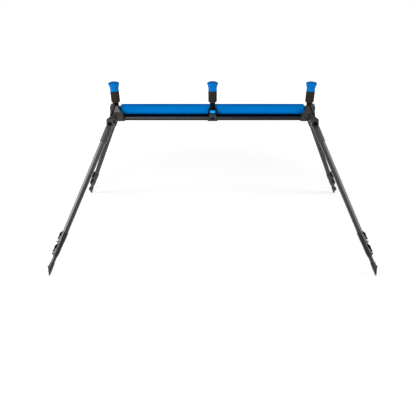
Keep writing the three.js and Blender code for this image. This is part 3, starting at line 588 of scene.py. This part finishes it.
def screw_head(radius, height):
    """A domed head with a six sided socket."""
    shape = bmesh.new()
    sixth = math.pi / 3

    def six_sided_ring(reach, level):
        points = []
        for step in range(HEAD_SIDES):
            angle = 2 * math.pi * step / HEAD_SIDES
            fold = (angle + sixth / 2) % sixth - sixth / 2
            out = reach * math.cos(sixth / 2) / math.cos(fold)
            points.append(shape.verts.new((out * math.cos(angle), out * math.sin(angle), level)))
        return points

    def round_ring(reach, level):
        return circle(shape, radius * reach, height * level, HEAD_SIDES)

    socket = radius * SOCKET_REACH
    rings = [[shape.verts.new((0, 0, 0))], round_ring(1, 0), round_ring(1, HEAD_RIM)]
    for out, up in arc((0, 0), 1, 0, 90, CORNER_STEPS)[1:]:
        rings.append(
            round_ring(HEAD_FLAT + (1 - HEAD_FLAT) * out, HEAD_RIM + (1 - HEAD_RIM) * up)
        )
    rings.append(round_ring(SOCKET_REACH * SOCKET_LIP, 1))
    rings.append(six_sided_ring(socket, height * SOCKET_TOP))
    rings.append(six_sided_ring(socket, height * SOCKET_FLOOR))
    rings.append([shape.verts.new((0, 0, height * SOCKET_FLOOR))])
    skin(shape, rings)
    return to_mesh("screw_head", shape)


def span(node_name, matrix):
    """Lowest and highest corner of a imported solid, in the matrix's frame."""
    back = matrix.inverted()
    points = [back @ vertex.co for vertex in NODES[node_name].data.vertices]
    low = Vector(min(point[axis] for point in points) for axis in range(3))
    high = Vector(max(point[axis] for point in points) for axis in range(3))
    return low, high


def leg_frame(leg):
    """The leg's frame: x inward, y square to it, z up the leg, from its pivot."""
    fold = JOINTS[leg + "_leg_fold"]
    up = -Vector(JOINTS[leg + "_inner_slide"]["axis"])
    inward = Vector(fold["axis"]).cross(up).normalized()
    return axes(inward, up.cross(inward), up, Vector(fold["pos_m"]))


# Rollers
FOAM_OUTER_ROUNDING = 8 * MM
FOAM_INNER_ROUNDING = 4 * MM
ROUNDING_STEPS = 10
FOAM_RINGS = 24
TUBE_SKIN = 1.2 * MM
BUSH_LENGTH = 12 * MM
BUSH_BORE = 8.6 * MM
BUSH_LIP = 0.4 * MM
AXLE_CHAMFER = 0.2  # of the axle's radius


def foam_profile(radius, bore, inner, outer):
    """The foam from its inner end to its outer end, closed through the bore."""
    start = inner + FOAM_INNER_ROUNDING
    end = outer - FOAM_OUTER_ROUNDING
    profile = [(bore, inner)]
    for along, out in arc((0, 0), FOAM_INNER_ROUNDING, 180, 90, ROUNDING_STEPS):
        profile.append((radius - FOAM_INNER_ROUNDING + out, start + along))
    for ring in range(1, FOAM_RINGS):
        profile.append((radius, start + (end - start) * ring / FOAM_RINGS))
    for along, out in arc((0, 0), FOAM_OUTER_ROUNDING, 90, 0, ROUNDING_STEPS):
        profile.append((radius - FOAM_OUTER_ROUNDING + out, end + along))
    return profile + [(bore, outer), (bore, inner)]


class POLEROLLER_OT_rollers(bpy.types.Operator):
    """Foam covers, the tubes inside them and the axle"""

    bl_idname = "poleroller.rollers"
    bl_label = "Rollers"

    def execute(self, context):
        for side, sign in zip(SIDES, (-1, 1)):
            foam, tube = side + "_roller_foam", side + "_roller_tube"
            low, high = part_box(foam)
            tube_low, tube_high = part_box(tube)
            body = side + "_roller"
            lying = facing(X * sign, Vector((0, 0, AXLE_HEIGHT)))
            reach = sorted((abs(low.x), abs(high.x)))
            tube_reach = sorted((abs(tube_low.x), abs(tube_high.x)))
            tube_radius = (tube_high.z - tube_low.z) / 2
            bore = tube_radius + CLEARANCE
            cover = turned(foam_profile((high.z - low.z) / 2, bore, *reach))
            piece = put(side + "_foam_cover", cover, body, "roller_foam", lying, (foam,))
            core = turned(self.tube_profile(tube_radius, *tube_reach))
            put(side + "_roller_core", core, body, "beam_aluminium", lying, (tube,))
        low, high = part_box("roller_axle")
        radius = (high.z - low.z) / 2
        chamfer = radius * AXLE_CHAMFER
        profile = [(0, low.x), (radius - chamfer, low.x), (radius, low.x + chamfer)]
        profile += [(radius, high.x - chamfer), (radius - chamfer, high.x), (0, high.x)]
        along = facing(X, Vector((0, 0, AXLE_HEIGHT)))
        put("axle_rod", turned(profile), "frame", "steel", along, ("roller_axle",))
        return {"FINISHED"}

    @staticmethod
    def tube_profile(radius, near, far):
        """The tube with a bush in each end, which leaves a bore for the axle."""
        wall, bush, seat, lip = TUBE_SKIN, BUSH_LENGTH, BUSH_BORE / 2, BUSH_LIP
        return [
            (radius - lip, near),
            (radius, near + lip),
            (radius, far - lip),
            (radius - lip, far),
            (radius - wall, far),
            (radius - wall - lip, far - lip),
            (seat + lip, far - lip),
            (seat, far - 2 * lip),
            (seat, far - bush),
            (radius - wall, far - bush),
            (radius - wall, near + bush),
            (seat, near + bush),
            (seat, near),
            (radius - lip, near),
        ]


# Posts
CAP_WAIST_HEIGHT = 7 * MM
CAP_RIM_HEIGHT = 23.2 * MM
CAP_RIM_BAND = 1.7 * MM
CAP_BOTTOM_RADIUS = 14.3 * MM
CAP_WAIST_RADIUS = 14.4 * MM
CAP_FLARE_CURVE = 1.7
CAP_BORE_DEPTH = 22 * MM
CAP_LIP = 0.5 * MM
CAP_SWELL = 0.05 * MM
CAP_LINE = 3.7 * MM
CAP_LINE_HALF = 0.3 * MM
CAP_LINE_DEPTH = 0.2 * MM
SLEEVE_CHAMFER = 2.2 * MM
SLEEVE_LIP = 0.6 * MM
SLEEVE_BREAK = 0.12 * MM
SLEEVE_RINGS = 8
STALK_RADIUS = 9 * MM
STALK_LIP = 0.4 * MM
STALK_BEAD = 2.4 * MM
CORE_RADIUS = 7 * MM
CORE_BORE = CORE_RADIUS + CLEARANCE
SPIGOT_LENGTH = 14 * MM
SPIGOT_RADIUS = 6 * MM
SPIGOT_LIP = 0.5 * MM


def cap_profile(rim, height):
    """The cap from its bore to the top of its dome, with a fine line round its waist."""
    swell = CAP_BOTTOM_RADIUS + CAP_SWELL
    profile = [(0, CAP_BORE_DEPTH), (CORE_BORE, CAP_BORE_DEPTH), (CORE_BORE, 0)]
    profile += [(CAP_BOTTOM_RADIUS - CAP_LIP, 0), (CAP_BOTTOM_RADIUS, CAP_LIP)]
    profile += [(swell, CAP_LINE - CAP_LINE_HALF), (CAP_BOTTOM_RADIUS - CAP_LINE_DEPTH, CAP_LINE)]
    profile.append((swell, CAP_LINE + CAP_LINE_HALF))
    steps = 2 * ROUNDING_STEPS
    flare, rise_of_flare = rim - CAP_WAIST_RADIUS, CAP_RIM_HEIGHT - CAP_WAIST_HEIGHT
    for step in range(steps + 1):
        across = CAP_WAIST_RADIUS + flare * (step / steps) ** CAP_FLARE_CURVE
        profile.append((across, CAP_WAIST_HEIGHT + rise_of_flare * step / steps))
    rim_top = CAP_RIM_HEIGHT + CAP_RIM_BAND
    for turn, rise in arc((0, 0), 1, 0, 90, steps):
        profile.append((rim * turn, rim_top + (height - rim_top) * rise))
    return profile[:-1] + [(0, height)]


def sleeve_profile(radius, height):
    """The foam sleeve, with a chamfer at its lower end and a small rounding at its upper end."""
    lip = SLEEVE_LIP
    profile = [(CORE_BORE, 0), (radius - SLEEVE_CHAMFER, 0)]
    profile += [(radius - SLEEVE_BREAK, SLEEVE_CHAMFER - SLEEVE_BREAK)]
    profile += [(radius, SLEEVE_CHAMFER + lip)]
    profile += [(radius, height * ring / SLEEVE_RINGS) for ring in range(2, SLEEVE_RINGS)]
    profile += arc((radius - lip, height - lip), lip, 0, 90, 3)
    return profile + [(CORE_BORE, height), (CORE_BORE, 0)]


class POLEROLLER_OT_posts(bpy.types.Operator):
    """Stalks, foam sleeves and flared caps of the three posts"""

    bl_idname = "poleroller.posts"
    bl_label = "Guide posts"

    def execute(self, context):
        for post in POSTS:
            body = post + "_post"
            names = [body + part for part in ("_cap", "_sleeve", "_stalk")]
            low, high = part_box(names[0])
            middle = (low + high) / 2
            standing = Matrix.Translation((middle.x, middle.y, low.z))
            cap = turned(cap_profile((high.x - low.x) / 2, high.z - low.z))
            put(post + "_cap", cap, body, "cap_rubber", standing, (names[0],))
            bottom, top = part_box(names[1])
            at_sleeve = Matrix.Translation((middle.x, middle.y, bottom.z))
            sleeve = turned(sleeve_profile((top.x - bottom.x) / 2, top.z - bottom.z))
            piece = put(post + "_sleeve", sleeve, body, "sleeve_foam", at_sleeve, (names[1],))
            stalk_low, stalk_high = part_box(names[2])
            at_foot = Matrix.Translation((middle.x, middle.y, stalk_low.z))
            shoulder = bottom.z - stalk_low.z
            full = stalk_high.z - stalk_low.z
            make = self.centre_stalk if post == "centre" else self.outer_stalk
            stalk = make(shoulder, full)
            put(post + "_stalk", stalk, body, "black_plastic", at_foot, (names[2],))
        return {"FINISHED"}

    @staticmethod
    def shaft(start, shoulder, full):
        """The stalk's rings above its foot, with a bead under the sleeve."""
        lip = STALK_LIP
        neck = STALK_RADIUS - lip
        bead = shoulder - STALK_BEAD
        profile = [(STALK_RADIUS, start), (STALK_RADIUS, bead - 2 * lip)]
        profile += [(neck, bead - lip), (neck, bead), (STALK_RADIUS, bead + lip)]
        profile += [(STALK_RADIUS, shoulder - lip), (neck, shoulder), (CORE_RADIUS, shoulder)]
        return profile + [(CORE_RADIUS, full - lip), (CORE_RADIUS - lip, full), (0, full)]

    def centre_stalk(self, shoulder, full):
        """A round shaft on a thinner spigot, which stands in the post housing."""
        lip = SPIGOT_LIP
        profile = [(0, 0), (SPIGOT_RADIUS - lip, 0), (SPIGOT_RADIUS, lip)]
        profile += [(SPIGOT_RADIUS, SPIGOT_LENGTH), (STALK_RADIUS - lip, SPIGOT_LENGTH)]
        return turned(profile + self.shaft(SPIGOT_LENGTH + lip, shoulder, full))

    def outer_stalk(self, shoulder, full):
        """A round shaft that ends in a knuckle turned across its pivot pin."""
        shape = bmesh.new()
        sides = settings()[1].round_sides
        rings = []
        for half, drop in arc((0, 0), STALK_RADIUS, -90, 0, ROUNDING_STEPS)[1:]:
            ring = circle(shape, STALK_RADIUS, STALK_RADIUS + drop, sides)
            for vertex in ring:
                vertex.co.x = max(-half, min(half, vertex.co.x))
            rings.append(ring)
        for radius, height in self.shaft(STALK_RADIUS, shoulder, full)[1:-1]:
            rings.append(circle(shape, radius, height, sides))
        rings.append([shape.verts.new((0, 0, full))])
        skin(shape, rings)
        shape.faces.new(rings[0])
        return to_mesh("outer_stalk", shape)


# Buttons
BUTTON_CORNER = 2.7 * MM
BUTTON_CORNER_STEPS = 6
BUTTON_TAPER = 0.9 * MM
BUTTON_BACK = 0.88  # of its outline, at the back
BUTTON_CROWN = 0.9 * MM
CROWN_ANGLES = (0.5, 1.0, 1.4)
BUTTON_DRAW = 0.12  # what the crown takes off the outline
FACE_SHARES = (0.75, 0.55, 0.35, 0.15)
BUTTON_DIP = 0.5 * MM
DIP_WIDTH = 0.07  # of the button's width
BUTTON_SHARP = 50


class POLEROLLER_OT_buttons(bpy.types.Operator):
    """Push buttons with crowned faces"""

    bl_idname = "poleroller.buttons"
    bl_label = "Push buttons"

    def execute(self, context):
        for post in POSTS:
            out = -Vector(JOINTS[post + "_button_press"]["axis"])
            name = post + "_post_button"
            wide = X if post == "centre" else Y
            up = out.cross(wide).normalized()
            at = axes(wide, up, wide.cross(up), Vector((0, 0, 0)))
            low, high = span(name, at)
            size = high - low
            at.translation = at @ Vector(((low.x + high.x) / 2, (low.y + high.y) / 2, low.z))
            if (at.to_3x3() @ Z).dot(out) < 0:
                turned_over = Matrix.Rotation(math.pi, 4, "X")
                at = at @ turned_over @ Matrix.Translation((0, 0, -size.z))
            mesh = self.button(*size)
            put(post + "_push_button", mesh, post + "_button", "button_plastic", at, (name,))
        return {"FINISHED"}

    @staticmethod
    def button(width, height, depth):
        """A rounded bar, drawn in at its back, with a crowned face that dips in its middle."""
        shape = bmesh.new()
        half_x, half_y = width / 2, height / 2
        bar = [(half_x, half_y), (-half_x, half_y), (-half_x, -half_y), (half_x, -half_y)]
        outline = rounded(bar, BUTTON_CORNER, BUTTON_CORNER_STEPS)

        def ring(share, level, dip=0.0):
            made = []
            for x, y in outline:
                drop = dip * math.exp(-((x * share / (width * DIP_WIDTH)) ** 2))
                made.append(shape.verts.new((x * share, y * share, level - drop)))
            return made

        brim = depth - BUTTON_CROWN
        rings = [ring(BUTTON_BACK, 0), ring(1, BUTTON_TAPER), ring(1, brim)]
        for angle in CROWN_ANGLES:
            share = 1 - BUTTON_DRAW * (1 - math.cos(angle))
            rings.append(ring(share, brim + BUTTON_CROWN * math.sin(angle)))
        rings += [ring(share, depth, BUTTON_DIP) for share in FACE_SHARES]
        skin(shape, rings, closed_ends=True)
        return to_mesh("button", shape, BUTTON_SHARP)


# Beam
BEAM_WALL = 1.6 * MM
BEAM_ROUNDING = 2 * MM
BEAM_LEAN = 1.6 * MM
BEAM_LEAN_ANGLE = 15
BEAM_LINE = 0.4 * MM
BEAM_LIP = 0.3 * MM
INNER_ROUNDING = 0.6  # what the inner corner loses, per length of inset
LOFT_ANGLE = 20


def beam_outline(half_width, half_height, inset, line):
    """The beam's section: a line along the middle of each side, under a leaning upper face."""
    corner = BEAM_ROUNDING - inset * INNER_ROUNDING
    edge = half_width - inset
    top = half_height - inset
    front = arc((edge - corner, -top + corner), corner, -90, 0, CORNER_STEPS)
    front += [(edge, -line * 2), (edge - line, -line), (edge - line, line), (edge, line * 2)]
    upper = (edge - BEAM_LEAN - corner, top - corner)
    front += arc(upper, corner, BEAM_LEAN_ANGLE, 90, CORNER_STEPS)
    return front + [(-y, z) for y, z in reversed(front)]


def lofted(outer, inner, low, high, lip):
    """A hollow bar between two like outlines, along z."""
    shape = bmesh.new()

    def ring(points, level, share=1.0):
        return [shape.verts.new((x * share, y * share, level)) for x, y in points]

    size = max(abs(x) for x, _ in outer)
    drawn_in = 1 - lip / size
    rings = [ring(outer, low, drawn_in), ring(outer, low + lip), ring(outer, high - lip)]
    rings += [ring(outer, high, drawn_in), ring(inner, high), ring(inner, low)]
    skin(shape, rings + [rings[0]])
    return to_mesh("lofted", shape, LOFT_ANGLE)


class POLEROLLER_OT_beam(bpy.types.Operator):
    """The flat hollow beam under the rollers"""

    bl_idname = "poleroller.beam"
    bl_label = "Beam"

    def execute(self, context):
        low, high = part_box("beam")
        half = (high - low) / 2
        outer = beam_outline(half.y, half.z, 0, BEAM_LINE)
        inner = beam_outline(half.y, half.z, BEAM_WALL, 0)
        mesh = lofted(outer, inner, -half.x, half.x, BEAM_LIP)
        mesh.transform(axes(Y, Z, X, (low + high) / 2))
        beam = put("flat_beam", mesh, "frame", "beam_aluminium", None, ("beam",))

        # Painted shade: the anodised beam's top under the rollers takes the navy colour for their
        # shadow and their blue reflection
        def painted_shade_on_top(middle, normal):
            return normal.z > LEVEL and middle.z > high.z - BEAM_WALL / 2

        paint(beam, "navy", painted_shade_on_top)
        return {"FINISHED"}


# Brackets
# The saddle's recess starts 0.3 mm above a ledge, and the roundings of the two may not meet.
SADDLE_EDGE = 0.12 * MM
# The painted room of the recess, from the saddle's middle, foot and front
RECESS_HALF_WIDTH = 6.7 * MM
RECESS_LOW = 9.9 * MM
RECESS_HIGH = 15.9 * MM
RECESS_FRONT = 2.9 * MM
RECESS_BACK = 8.3 * MM
BOLT_HEAD_RADIUS = 3.1 * MM
BOLT_HEAD_HEIGHT = 1.3 * MM
# Reach from a pivot's axis of the ears' flats, and of the painted shade round it
BOLT_SEARCH = 4.5 * MM
PIVOT_SHADE_REACH = 7.6 * MM


class POLEROLLER_OT_centre(bpy.types.Operator):
    """The saddle on the beam and the housing of the centre post"""

    bl_idname = "poleroller.centre"
    bl_label = "Centre bracket"

    def execute(self, context):
        sizes = settings()[1]
        mesh = softened("centre_bracket", SADDLE_EDGE)
        saddle = put("saddle", mesh, "frame", "dull_casting", None, ("centre_bracket",))
        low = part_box("centre_bracket")[0]

        def in_recess(middle, normal):
            up, deep = middle.z - low.z, middle.y - low.y
            inside = abs(middle.x) < RECESS_HALF_WIDTH and RECESS_LOW < up < RECESS_HIGH
            return inside and RECESS_FRONT < deep < RECESS_BACK

        paint(saddle, "navy", in_recess)
        housing = softened("centre_post_housing", sizes.moulded_edge)
        put("post_housing", housing, "frame", "black_plastic", None, ("centre_post_housing",))
        return {"FINISHED"}


class POLEROLLER_OT_ends(bpy.types.Operator):
    """End brackets with their bolts and pins"""

    bl_idname = "poleroller.ends"
    bl_label = "End brackets"

    def execute(self, context):
        sizes = settings()[1]
        for side in SIDES:
            name = side + "_end_bracket"
            mesh = softened(name, sizes.casting_edge)
            bracket = put(side + "_end_casting", mesh, "frame", "grey_casting", None, (name,))
            self.bolts(side, name, bracket)
            pin = softened(side + "_post_pin", sizes.moulded_edge)
            put(side + "_pivot_pin", pin, "frame", "steel", None, (side + "_post_pin",))
        return {"FINISHED"}

    @staticmethod
    def bolts(side, node_name, bracket):
        """Socket heads on both ears of a bracket's leg forks, with painted shade round them: black
        on the casting for the shade in each pivot's counterbore.
        """
        corners = [vertex.co for vertex in NODES[node_name].data.vertices]
        for leg in (name for name in LEGS if name.endswith(side)):
            joint = JOINTS[leg + "_leg_fold"]
            pivot, along = Vector(joint["pos_m"]), Vector(joint["axis"])
            reaches = []
            for corner in corners:
                reach = (corner - pivot).dot(along)
                if (corner - pivot - along * reach).length < BOLT_SEARCH:
                    reaches.append(reach)
            ends = (("inner", max(reaches), along), ("outer", min(reaches), -along))
            for end, reach, way in ends:
                head = screw_head(BOLT_HEAD_RADIUS, BOLT_HEAD_HEIGHT)
                at = facing(way, pivot + along * reach)
                put(f"{leg}_{end}_bolt_head", head, "frame", "black_plastic", at)

            # Painted shade: round each pivot the casting is painted black for the shade in the
            # deep counterbore round the pin's head
            def in_pivot_shade(middle, normal):
                off = middle - pivot
                return (off - along * off.dot(along)).length < PIVOT_SHADE_REACH

            paint(bracket, "black_plastic", in_pivot_shade)


# Legs
TUBE_WALL = 0.8 * MM
TUBE_ROUNDING = 1.0 * MM
TUBE_LIP = 0.2 * MM


def six_sided(flats, rounding):
    """A six sided outline with round corners."""
    reach = (flats / 2 - rounding) / math.cos(math.radians(30))
    points = []
    for middle in range(30, 360, 60):
        angle = math.radians(middle)
        centre = (reach * math.cos(angle), reach * math.sin(angle))
        points += arc(centre, rounding, middle - 30, middle + 30, CORNER_STEPS)
    return points


class POLEROLLER_OT_tubes(bpy.types.Operator):
    """The three telescopic tubes of each leg"""

    bl_idname = "poleroller.tubes"
    bl_label = "Leg tubes"

    def execute(self, context):
        for leg in LEGS:
            at = leg_frame(leg)
            for stage, body in LEG_BODIES.items():
                name = f"{leg}_{stage}_tube"
                low, high = span(name, at)
                flats = 2 * high.x
                outer = six_sided(flats, TUBE_ROUNDING)
                inner = six_sided(flats - 2 * TUBE_WALL, TUBE_ROUNDING - TUBE_WALL)
                mesh = weighted(lofted(outer, inner, low.z, high.z, TUBE_LIP), BEVEL_ANGLE)
                put(f"{leg}_{stage}_section", mesh, leg + body, "leg_aluminium", at, (name,))
        return {"FINISHED"}


class POLEROLLER_OT_leg_ends(bpy.types.Operator):
    """Sockets at the top of the legs and feet at the bottom"""

    bl_idname = "poleroller.leg_ends"
    bl_label = "Sockets and feet"

    def execute(self, context):
        sizes = settings()[1]
        for leg in LEGS:
            at = leg_frame(leg)
            back = at.inverted()
            socket = softened(leg + "_leg_socket", sizes.casting_edge, back)
            put(leg + "_socket", socket, leg + "_leg", "grey_casting", at, (leg + "_leg_socket",))
            foot = softened(leg + "_foot", sizes.moulded_edge, back)
            put(leg + "_spike", foot, leg + "_inner", "foot_plastic", at, (leg + "_foot",))
        return {"FINISHED"}


LUG_EDGE = 0.4 * MM
LEVER_LIP = 1.6 * MM
# Grip ribs of the levers
RIBS = 5
RIB_START = 4.4 * MM
RIB_STEP = 1.5 * MM
RIB_HALF = 0.42 * MM
RIB_PROUD = 0.35 * MM
RIB_DEEP = 0.4 * MM
RIB_INSET = 1 * MM
RIB_ROUNDING = 0.6 * RIB_HALF
RIB_EDGE = 0.3 * RIB_HALF
# Heads of the clamps' screws, which pass through a boss at the foot, and of the levers' pins
BOSS_ROOM = 10 * MM
CLAMP_SCREW_RADIUS = 2.1 * MM
CLAMP_SCREW_HEIGHT = 0.9 * MM
PIN_RADIUS = 1.3 * MM
PIN_WALL = 0.8 * MM
PIN_HEAD_RADIUS = 1.6 * MM
PIN_HEAD_HEIGHT = 0.5 * MM


class POLEROLLER_OT_clamps(bpy.types.Operator):
    """Clamps and cam levers between the tubes"""

    bl_idname = "poleroller.clamps"
    bl_label = "Clamps and levers"

    def execute(self, context):
        sizes = settings()[1]
        for leg in LEGS:
            at = leg_frame(leg)
            back = at.inverted()
            for level, body in (("upper", "_leg"), ("lower", "_middle")):
                clamp = f"{leg}_{level}_clamp"
                lever = f"{leg}_{level}_lever"
                low, high = span(lever, at)
                mesh = softened(clamp, sizes.moulded_edge, back)
                piece = put(clamp + "_body", mesh, leg + body, "clamp_plastic", at, (clamp,))
                edge, end = high.x - LUG_EDGE, low.z - LUG_EDGE

                def on_lug(middle, normal):
                    return middle.z > end and (middle.x < edge or abs(normal.y) > LEVEL)

                paint(piece, "black_plastic", on_lug)
                eye = high.x - (high.x - low.x - LEVER_LIP) / 2
                self.screws(clamp, leg + body, at, eye, high.z)
                mesh = softened(lever, sizes.moulded_edge, back)
                put(lever + "_arm", mesh, lever, "black_plastic", at, (lever,))
                face = low.x + LEVER_LIP
                put(lever + "_grip", self.ribs(low, high, face), lever, "black_plastic", at)
        return {"FINISHED"}

    @staticmethod
    def ribs(low, high, face):
        """Round ribs across the lower half of the lever's outer face."""
        section = [(RIB_DEEP, RIB_HALF), (-RIB_PROUD, RIB_HALF)]
        section += [(-RIB_PROUD, -RIB_HALF), (RIB_DEEP, -RIB_HALF)]
        outline = rounded(section, RIB_ROUNDING)
        half_width = (high.y - low.y) / 2 - RIB_INSET
        lying = Matrix.Rotation(math.pi / 2, 4, "X")
        shape = bmesh.new()
        for rib in range(RIBS):
            bar = prism(outline, -half_width, half_width, RIB_EDGE)
            level = low.z + RIB_START + rib * RIB_STEP
            bar.transform(Matrix.Translation((face, (low.y + high.y) / 2, level)) @ lying)
            shape.from_mesh(bar)
        return to_mesh("ribs", shape)

    @staticmethod
    def screws(clamp, body, at, eye, top):
        """Heads of the lever's pin and of the clamp's own screw, on both sides."""
        back = at.inverted()
        points = [back @ vertex.co for vertex in NODES[clamp].data.vertices]
        boss_top = min(point.z for point in points) + BOSS_ROOM
        boss = [point for point in points if point.z < boss_top and point.x < eye + PIN_RADIUS]
        screw = sum(boss, Vector((0, 0, 0))) / len(boss)
        screw.y = 0
        reach = PIN_RADIUS + PIN_WALL
        pin = Vector((eye, 0, top - reach))
        lugs = [point for point in points if (point - pin).xz.length < reach + TINY]
        heads = (
            ("screw", CLAMP_SCREW_RADIUS, CLAMP_SCREW_HEIGHT, "clamp_plastic", screw, boss),
            ("pin_head", PIN_HEAD_RADIUS, PIN_HEAD_HEIGHT, "black_plastic", pin, lugs),
        )
        for side, way in (("front", Y), ("back", -Y)):
            for part, radius, height, key, middle, ground in heads:
                seat = middle + way * max(point.y for point in ground)
                head = screw_head(radius, height)
                put(f"{clamp}_{side}_{part}", head, body, key, at @ facing(way, seat))


# Stage
CAMERA_PLACE = (0.0, -1.457, AXLE_HEIGHT + 0.462)
CAMERA_PITCH = 30.7
CAMERA_LENS = 36.84
CAMERA_SHIFT = -0.011
LAMP_TARGET = Vector((0, 0, 0.3))
# Each lamp's place, its width and height, and the setting that holds its power
LAMPS = {
    "front_lamp": ((-0.7, -2.8, 1.38), (1.4, 0.8), "front_power"),
    "low_lamp": ((1.45, -2.5, 0.72), (0.9, 0.4), "low_power"),
    "left_strip": ((-2.3, -0.38, 0.84), (0.55, 1.2), "left_power"),
    "right_strip": ((2.3, -0.35, 0.98), (0.55, 1.3), "right_power"),
}
FLOOR_SIZE = 14.0
FLOOR_DROP = 0.5 * MM
FLOOR_PAINT = (0.9, 0.9, 0.9, 1)
FLOOR_ROUGHNESS = 0.9
# The floor's own white, as seen directly, near the object and far from it
FLOOR_GLOW = 0.33
GLOW_NEAR = 0.7
GLOW_FAR = 2.5
WHITE = (1, 1, 1, 1)


class POLEROLLER_OT_stage(bpy.types.Operator):
    """Pale floor, soft lamps and the camera"""

    bl_idname = "poleroller.stage"
    bl_label = "Stage"

    def execute(self, context):
        stage = settings()[2]
        self.floor()
        self.world(stage.ambient)
        for name, (place, size, power) in LAMPS.items():
            self.lamp(name, place, size, getattr(stage, power))
        camera = bpy.data.cameras.new("camera")
        camera.lens = CAMERA_LENS
        camera.shift_x = CAMERA_SHIFT
        viewer = bpy.data.objects.new("camera", camera)
        viewer.location = CAMERA_PLACE
        viewer.rotation_euler = (math.radians(90 - CAMERA_PITCH), 0, 0)
        context.scene.collection.objects.link(viewer)
        context.scene.camera = viewer
        context.scene.view_settings.view_transform = "Standard"
        return {"FINISHED"}

    @staticmethod
    def lamp(name, place, size, power):
        data = bpy.data.lights.new(name, "AREA")
        data.shape = "RECTANGLE"
        data.size, data.size_y = size
        data.energy = power
        lamp = bpy.data.objects.new(name, data)
        lamp.location = place
        lamp.rotation_euler = (LAMP_TARGET - lamp.location).to_track_quat("-Z", "Y").to_euler()
        bpy.context.scene.collection.objects.link(lamp)

    @staticmethod
    def seen_directly(tree):
        """1 for what the camera, a mirror or glass sees."""
        rays = node(tree, "ShaderNodeLightPath").outputs
        seen = maths(tree, "MAXIMUM", rays["Is Camera Ray"], rays["Is Glossy Ray"])
        return maths(tree, "MAXIMUM", seen, rays["Is Transmission Ray"])

    def floor(self):
        """A matt floor that adds white of its own where it is seen directly."""
        shape = bmesh.new()
        bmesh.ops.create_grid(shape, x_segments=2, y_segments=2, size=FLOOR_SIZE / 2)
        floor = bpy.data.objects.new("floor", to_mesh("floor", shape))
        floor.location.z = -FLOOR_DROP
        bpy.context.scene.collection.objects.link(floor)
        material = bpy.data.materials.new("Pale floor")
        material.use_nodes = True
        tree = material.node_tree
        matt = tree.nodes["Principled BSDF"]
        matt.inputs["Base Color"].default_value = FLOOR_PAINT
        matt.inputs["Roughness"].default_value = FLOOR_ROUGHNESS
        matt.inputs["Specular IOR Level"].default_value = 0.0
        place = node(tree, "ShaderNodeNewGeometry").outputs["Position"]
        away = node(tree, "ShaderNodeVectorMath", {0: place}, operation="LENGTH")
        strength = ramp(tree, away.outputs["Value"], GLOW_NEAR, GLOW_FAR, FLOOR_GLOW, 1.0)
        white = maths(tree, "MULTIPLY", self.seen_directly(tree), strength)
        glow = node(tree, "ShaderNodeEmission", {"Color": WHITE, "Strength": white})
        both = node(tree, "ShaderNodeAddShader", {0: matt.outputs[0], 1: glow.outputs[0]})
        tree.links.new(both.outputs[0], tree.nodes["Material Output"].inputs["Surface"])
        floor.data.materials.append(material)

    def world(self, ambient):
        """An even light all round, which is white where it is seen directly."""
        world = bpy.data.worlds.new("studio")
        world.use_nodes = True
        bpy.context.scene.world = world
        tree = world.node_tree
        background = tree.nodes["Background"]
        background.inputs["Color"].default_value = WHITE
        strength = ramp(tree, self.seen_directly(tree), 0.0, 1.0, ambient, 1.0)
        tree.links.new(strength, background.inputs["Strength"])


class POLEROLLER_PT_panel(bpy.types.Panel):
    """Buttons and settings of the pole roller"""

    bl_idname = "POLEROLLER_PT_panel"
    bl_label = "Pole Roller"
    bl_space_type = "VIEW_3D"
    bl_region_type = "UI"
    bl_category = "Pole Roller"

    def draw(self, context):
        for operator in OPERATORS:
            self.layout.operator(operator.bl_idname)
        for settings_group in settings():
            box = self.layout.box()
            for name in settings_group.__annotations__:
                box.prop(settings_group, name)


OPERATORS = (
    POLEROLLER_OT_stage,
    POLEROLLER_OT_rollers,
    POLEROLLER_OT_posts,
    POLEROLLER_OT_buttons,
    POLEROLLER_OT_beam,
    POLEROLLER_OT_centre,
    POLEROLLER_OT_ends,
    POLEROLLER_OT_tubes,
    POLEROLLER_OT_leg_ends,
    POLEROLLER_OT_clamps,
)
CLASSES = (PoleRollerColours, PoleRollerSizes, PoleRollerStage, *OPERATORS, POLEROLLER_PT_panel)


def register():
    for one in CLASSES:
        bpy.utils.register_class(one)
    bpy.types.Scene.pole_roller_colours = PointerProperty(type=PoleRollerColours)
    bpy.types.Scene.pole_roller_sizes = PointerProperty(type=PoleRollerSizes)
    bpy.types.Scene.pole_roller_stage = PointerProperty(type=PoleRollerStage)


def unregister():
    del bpy.types.Scene.pole_roller_colours
    del bpy.types.Scene.pole_roller_sizes
    del bpy.types.Scene.pole_roller_stage
    for one in reversed(CLASSES):
        bpy.utils.unregister_class(one)


def corners(box):
    return [list(corner) for corner in box]


def main():
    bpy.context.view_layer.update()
    register()
    for operator in OPERATORS:
        category, name = operator.bl_idname.split(".")
        getattr(getattr(bpy.ops, category), name)()


if __name__ == "__main__":
    main()
